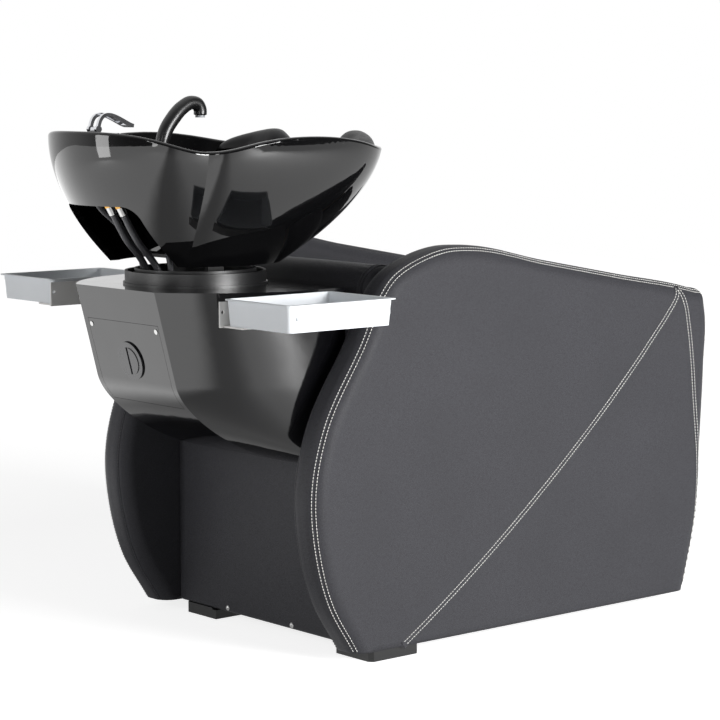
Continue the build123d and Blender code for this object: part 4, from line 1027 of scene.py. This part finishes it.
# Silicone spray plate: pale grey with a close pattern of darker nozzle tips, 2.4 mm apart.
NOZZLES = 2.4 * MM
spray, tree, surface, place = shader("grey silicone spray plate", "#8d9094", 0.45)
inputs = {"Scale": 1 / NOZZLES, "Randomness": 0.15}
tips = add_node(tree, "TexVoronoi", {"feature": "F1"}, inputs, {"Vector": place})
dots = add_node(tree, "MapRange", inputs={"From Min": 0.2, "From Max": 0.3}, links={"Value": tips})
pattern(tree, surface, dots, tones=("#3c3e41", "#9a9da1"))
inputs = {"Strength": 0.5, "Distance": 0.8 * MM}
proud = add_node(tree, "Bump", {"invert": True}, inputs, {"Height": dots})
join(tree, surface, {"Normal": proud})
dress(spray, "spray_face")

# The handle's middle line, ahead of the bush and above the deck, and its radius along that.
SHOWER_PLACE = np.array([-0.4640, -0.0300, 0.86775])
HANDLE_LINE = [
    (-0.0042, -0.0196), (0.0021, 0.0098), (0.0071, 0.0333), (0.014, 0.049), (0.027, 0.066),
    (0.0475, 0.085), (0.0665, 0.0935), (0.0805, 0.0905), (0.086, 0.081), (0.086, 0.072),
]
HANDLE_RADII = [
    (0.0, 0.0112), (0.036, 0.0112), (0.056, 0.0124), (0.1, 0.0128), (0.15, 0.0118), (0.19, 0.0112),
    (1.0, 0.0112),
]
HANDLE_ROUND = 0.0015
HANDLE_COUNT = 160
HANDLE_SIDES = 48
middle = smooth_line(HANDLE_LINE, HANDLE_COUNT)
handle_run = run_along(middle)
radius = np.interp(handle_run, *np.array(HANDLE_RADII).T)
from_end = np.minimum(handle_run, handle_run[-1] - handle_run)
radius -= HANDLE_ROUND * (1 - np.sqrt(1 - (1 - np.clip(from_end / HANDLE_ROUND, 0, 1)) ** 2))
ahead = unit(np.gradient(middle, axis=0))
over = np.insert(ahead[:, ::-1] * (-1, 1), 1, 0, axis=1)
centres = SHOWER_PLACE + np.insert(middle, 1, 0, axis=1)
grid = rings_round(centres, over, Y_WAY, radius[:, None, None], HANDLE_SIDES)
handle = closed_skin("hand_shower_handle", grid, shower_black)
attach(handle, "hand_shower")
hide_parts("hand_shower")
dress(satin_black, "shower_bush")


# Service trays: injection-moulded ABS trays that drop over the pegs of two folded brackets,
# which are screwed to the side panels' inner faces and powder coated white.
# White powder coat: the same orange peel as on the frame, in a slightly warm white.
white_powder, *parts = shader("white powder coat on steel", "#dedddb", 0.4)
noise_layer(*parts, POWDER_PEEL, 2.0, dent=(0.3, 0.3 * MM))
noise_layer(*parts, PALM, 3.0, roughness=(0.32, 0.5))
dress(white_abs, "tray_left", "tray_right", "tray_pegs_left", "tray_pegs_right")
dress(white_powder, "tray_bracket_left", "tray_bracket_right")


# Neck pad: a soft gel saddle pushed over the rim, thick where it takes the neck, with two
# humps that hold it in place and arms that thin out along the rim.
# Silicone gel: matt near-black that looks slightly damp on its crests, with a slack skin.
SKIN_WAVE = 7.0 * MM
gel, *parts = shader("cast silicone gel", "#161618", 0.42, IOR=1.41)
noise_layer(*parts, SKIN_WAVE, 3.0, dent=(0.2, 0.8 * MM), roughness=(0.3, 0.55))

NECK_LINE = [
    (-0.162, 0.205), (-0.147, 0.193), (-0.129, 0.173), (-0.113, 0.151), (-0.101, 0.122),
    (-0.094, 0.103), (-0.081, 0.081), (-0.067, 0.055), (-0.058, 0.025), (-0.056, 0.0),
]
NECK_TOPS = [
    (0.0, 0.852), (0.035, 0.855), (0.062, 0.862), (0.078, 0.876), (0.09, 0.898),
    (0.103, 0.911), (0.122, 0.9115), (0.151, 0.906), (0.173, 0.9), (0.193, 0.894),
    (0.205, 0.889),
]
NECK_HALVES = [
    (0.0, 0.015), (0.055, 0.017), (0.081, 0.026), (0.103, 0.033), (0.122, 0.03),
    (0.151, 0.024), (0.205, 0.017),
]
NECK_FEET = [
    (0.0, 0.828), (0.06, 0.84), (0.105, 0.868), (0.14, 0.872), (0.206, 0.872),
]
INSIDE_WIDTH = 0.5
INSIDE_HEIGHT = 0.55
NECK_STATIONS = 181
DOME_POWER = 2.3
DOME_COUNT = 33
NECK_SPAN = 13
BLUNTNESS = 14

one_side = np.array(NECK_LINE)
other_side = one_side[-2::-1] * np.array([1, -1])
neck_line = smooth_line(np.concatenate([one_side, other_side]), NECK_STATIONS)
away = np.abs(neck_line[:, 1])
tables = (NECK_TOPS, NECK_FEET, NECK_HALVES)
top, foot, half_width = evened([np.interp(away, *np.array(table).T) for table in tables], NECK_SPAN)
station = np.linspace(-1, 1, NECK_STATIONS)
taper = np.sqrt(np.clip(1 - np.abs(station) ** BLUNTNESS, 0.02, 1))
ahead = unit(np.gradient(neck_line, axis=0))
across = np.stack([-ahead[:, 1], ahead[:, 0]], -1)
turn = np.linspace(0, math.pi, DOME_COUNT)
dome = np.stack([np.cos(turn), np.sin(turn)], -1)
dome = np.sign(dome) * np.abs(dome) ** (2 / DOME_POWER)
loop = np.concatenate([dome, dome[::-1] * (INSIDE_WIDTH, INSIDE_HEIGHT)])
sideways = loop[:, 0] * (half_width * taper)[:, None]
height = foot[:, None] + loop[:, 1] * ((top - foot) * taper)[:, None]
flat = neck_line[:, None] + sideways[..., None] * across[:, None]
grid = np.concatenate([flat, height[..., None]], -1)
neck_cover = closed_skin("neck_pad_cover", grid, gel)
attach(neck_cover, "basin")
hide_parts("neck_pad")
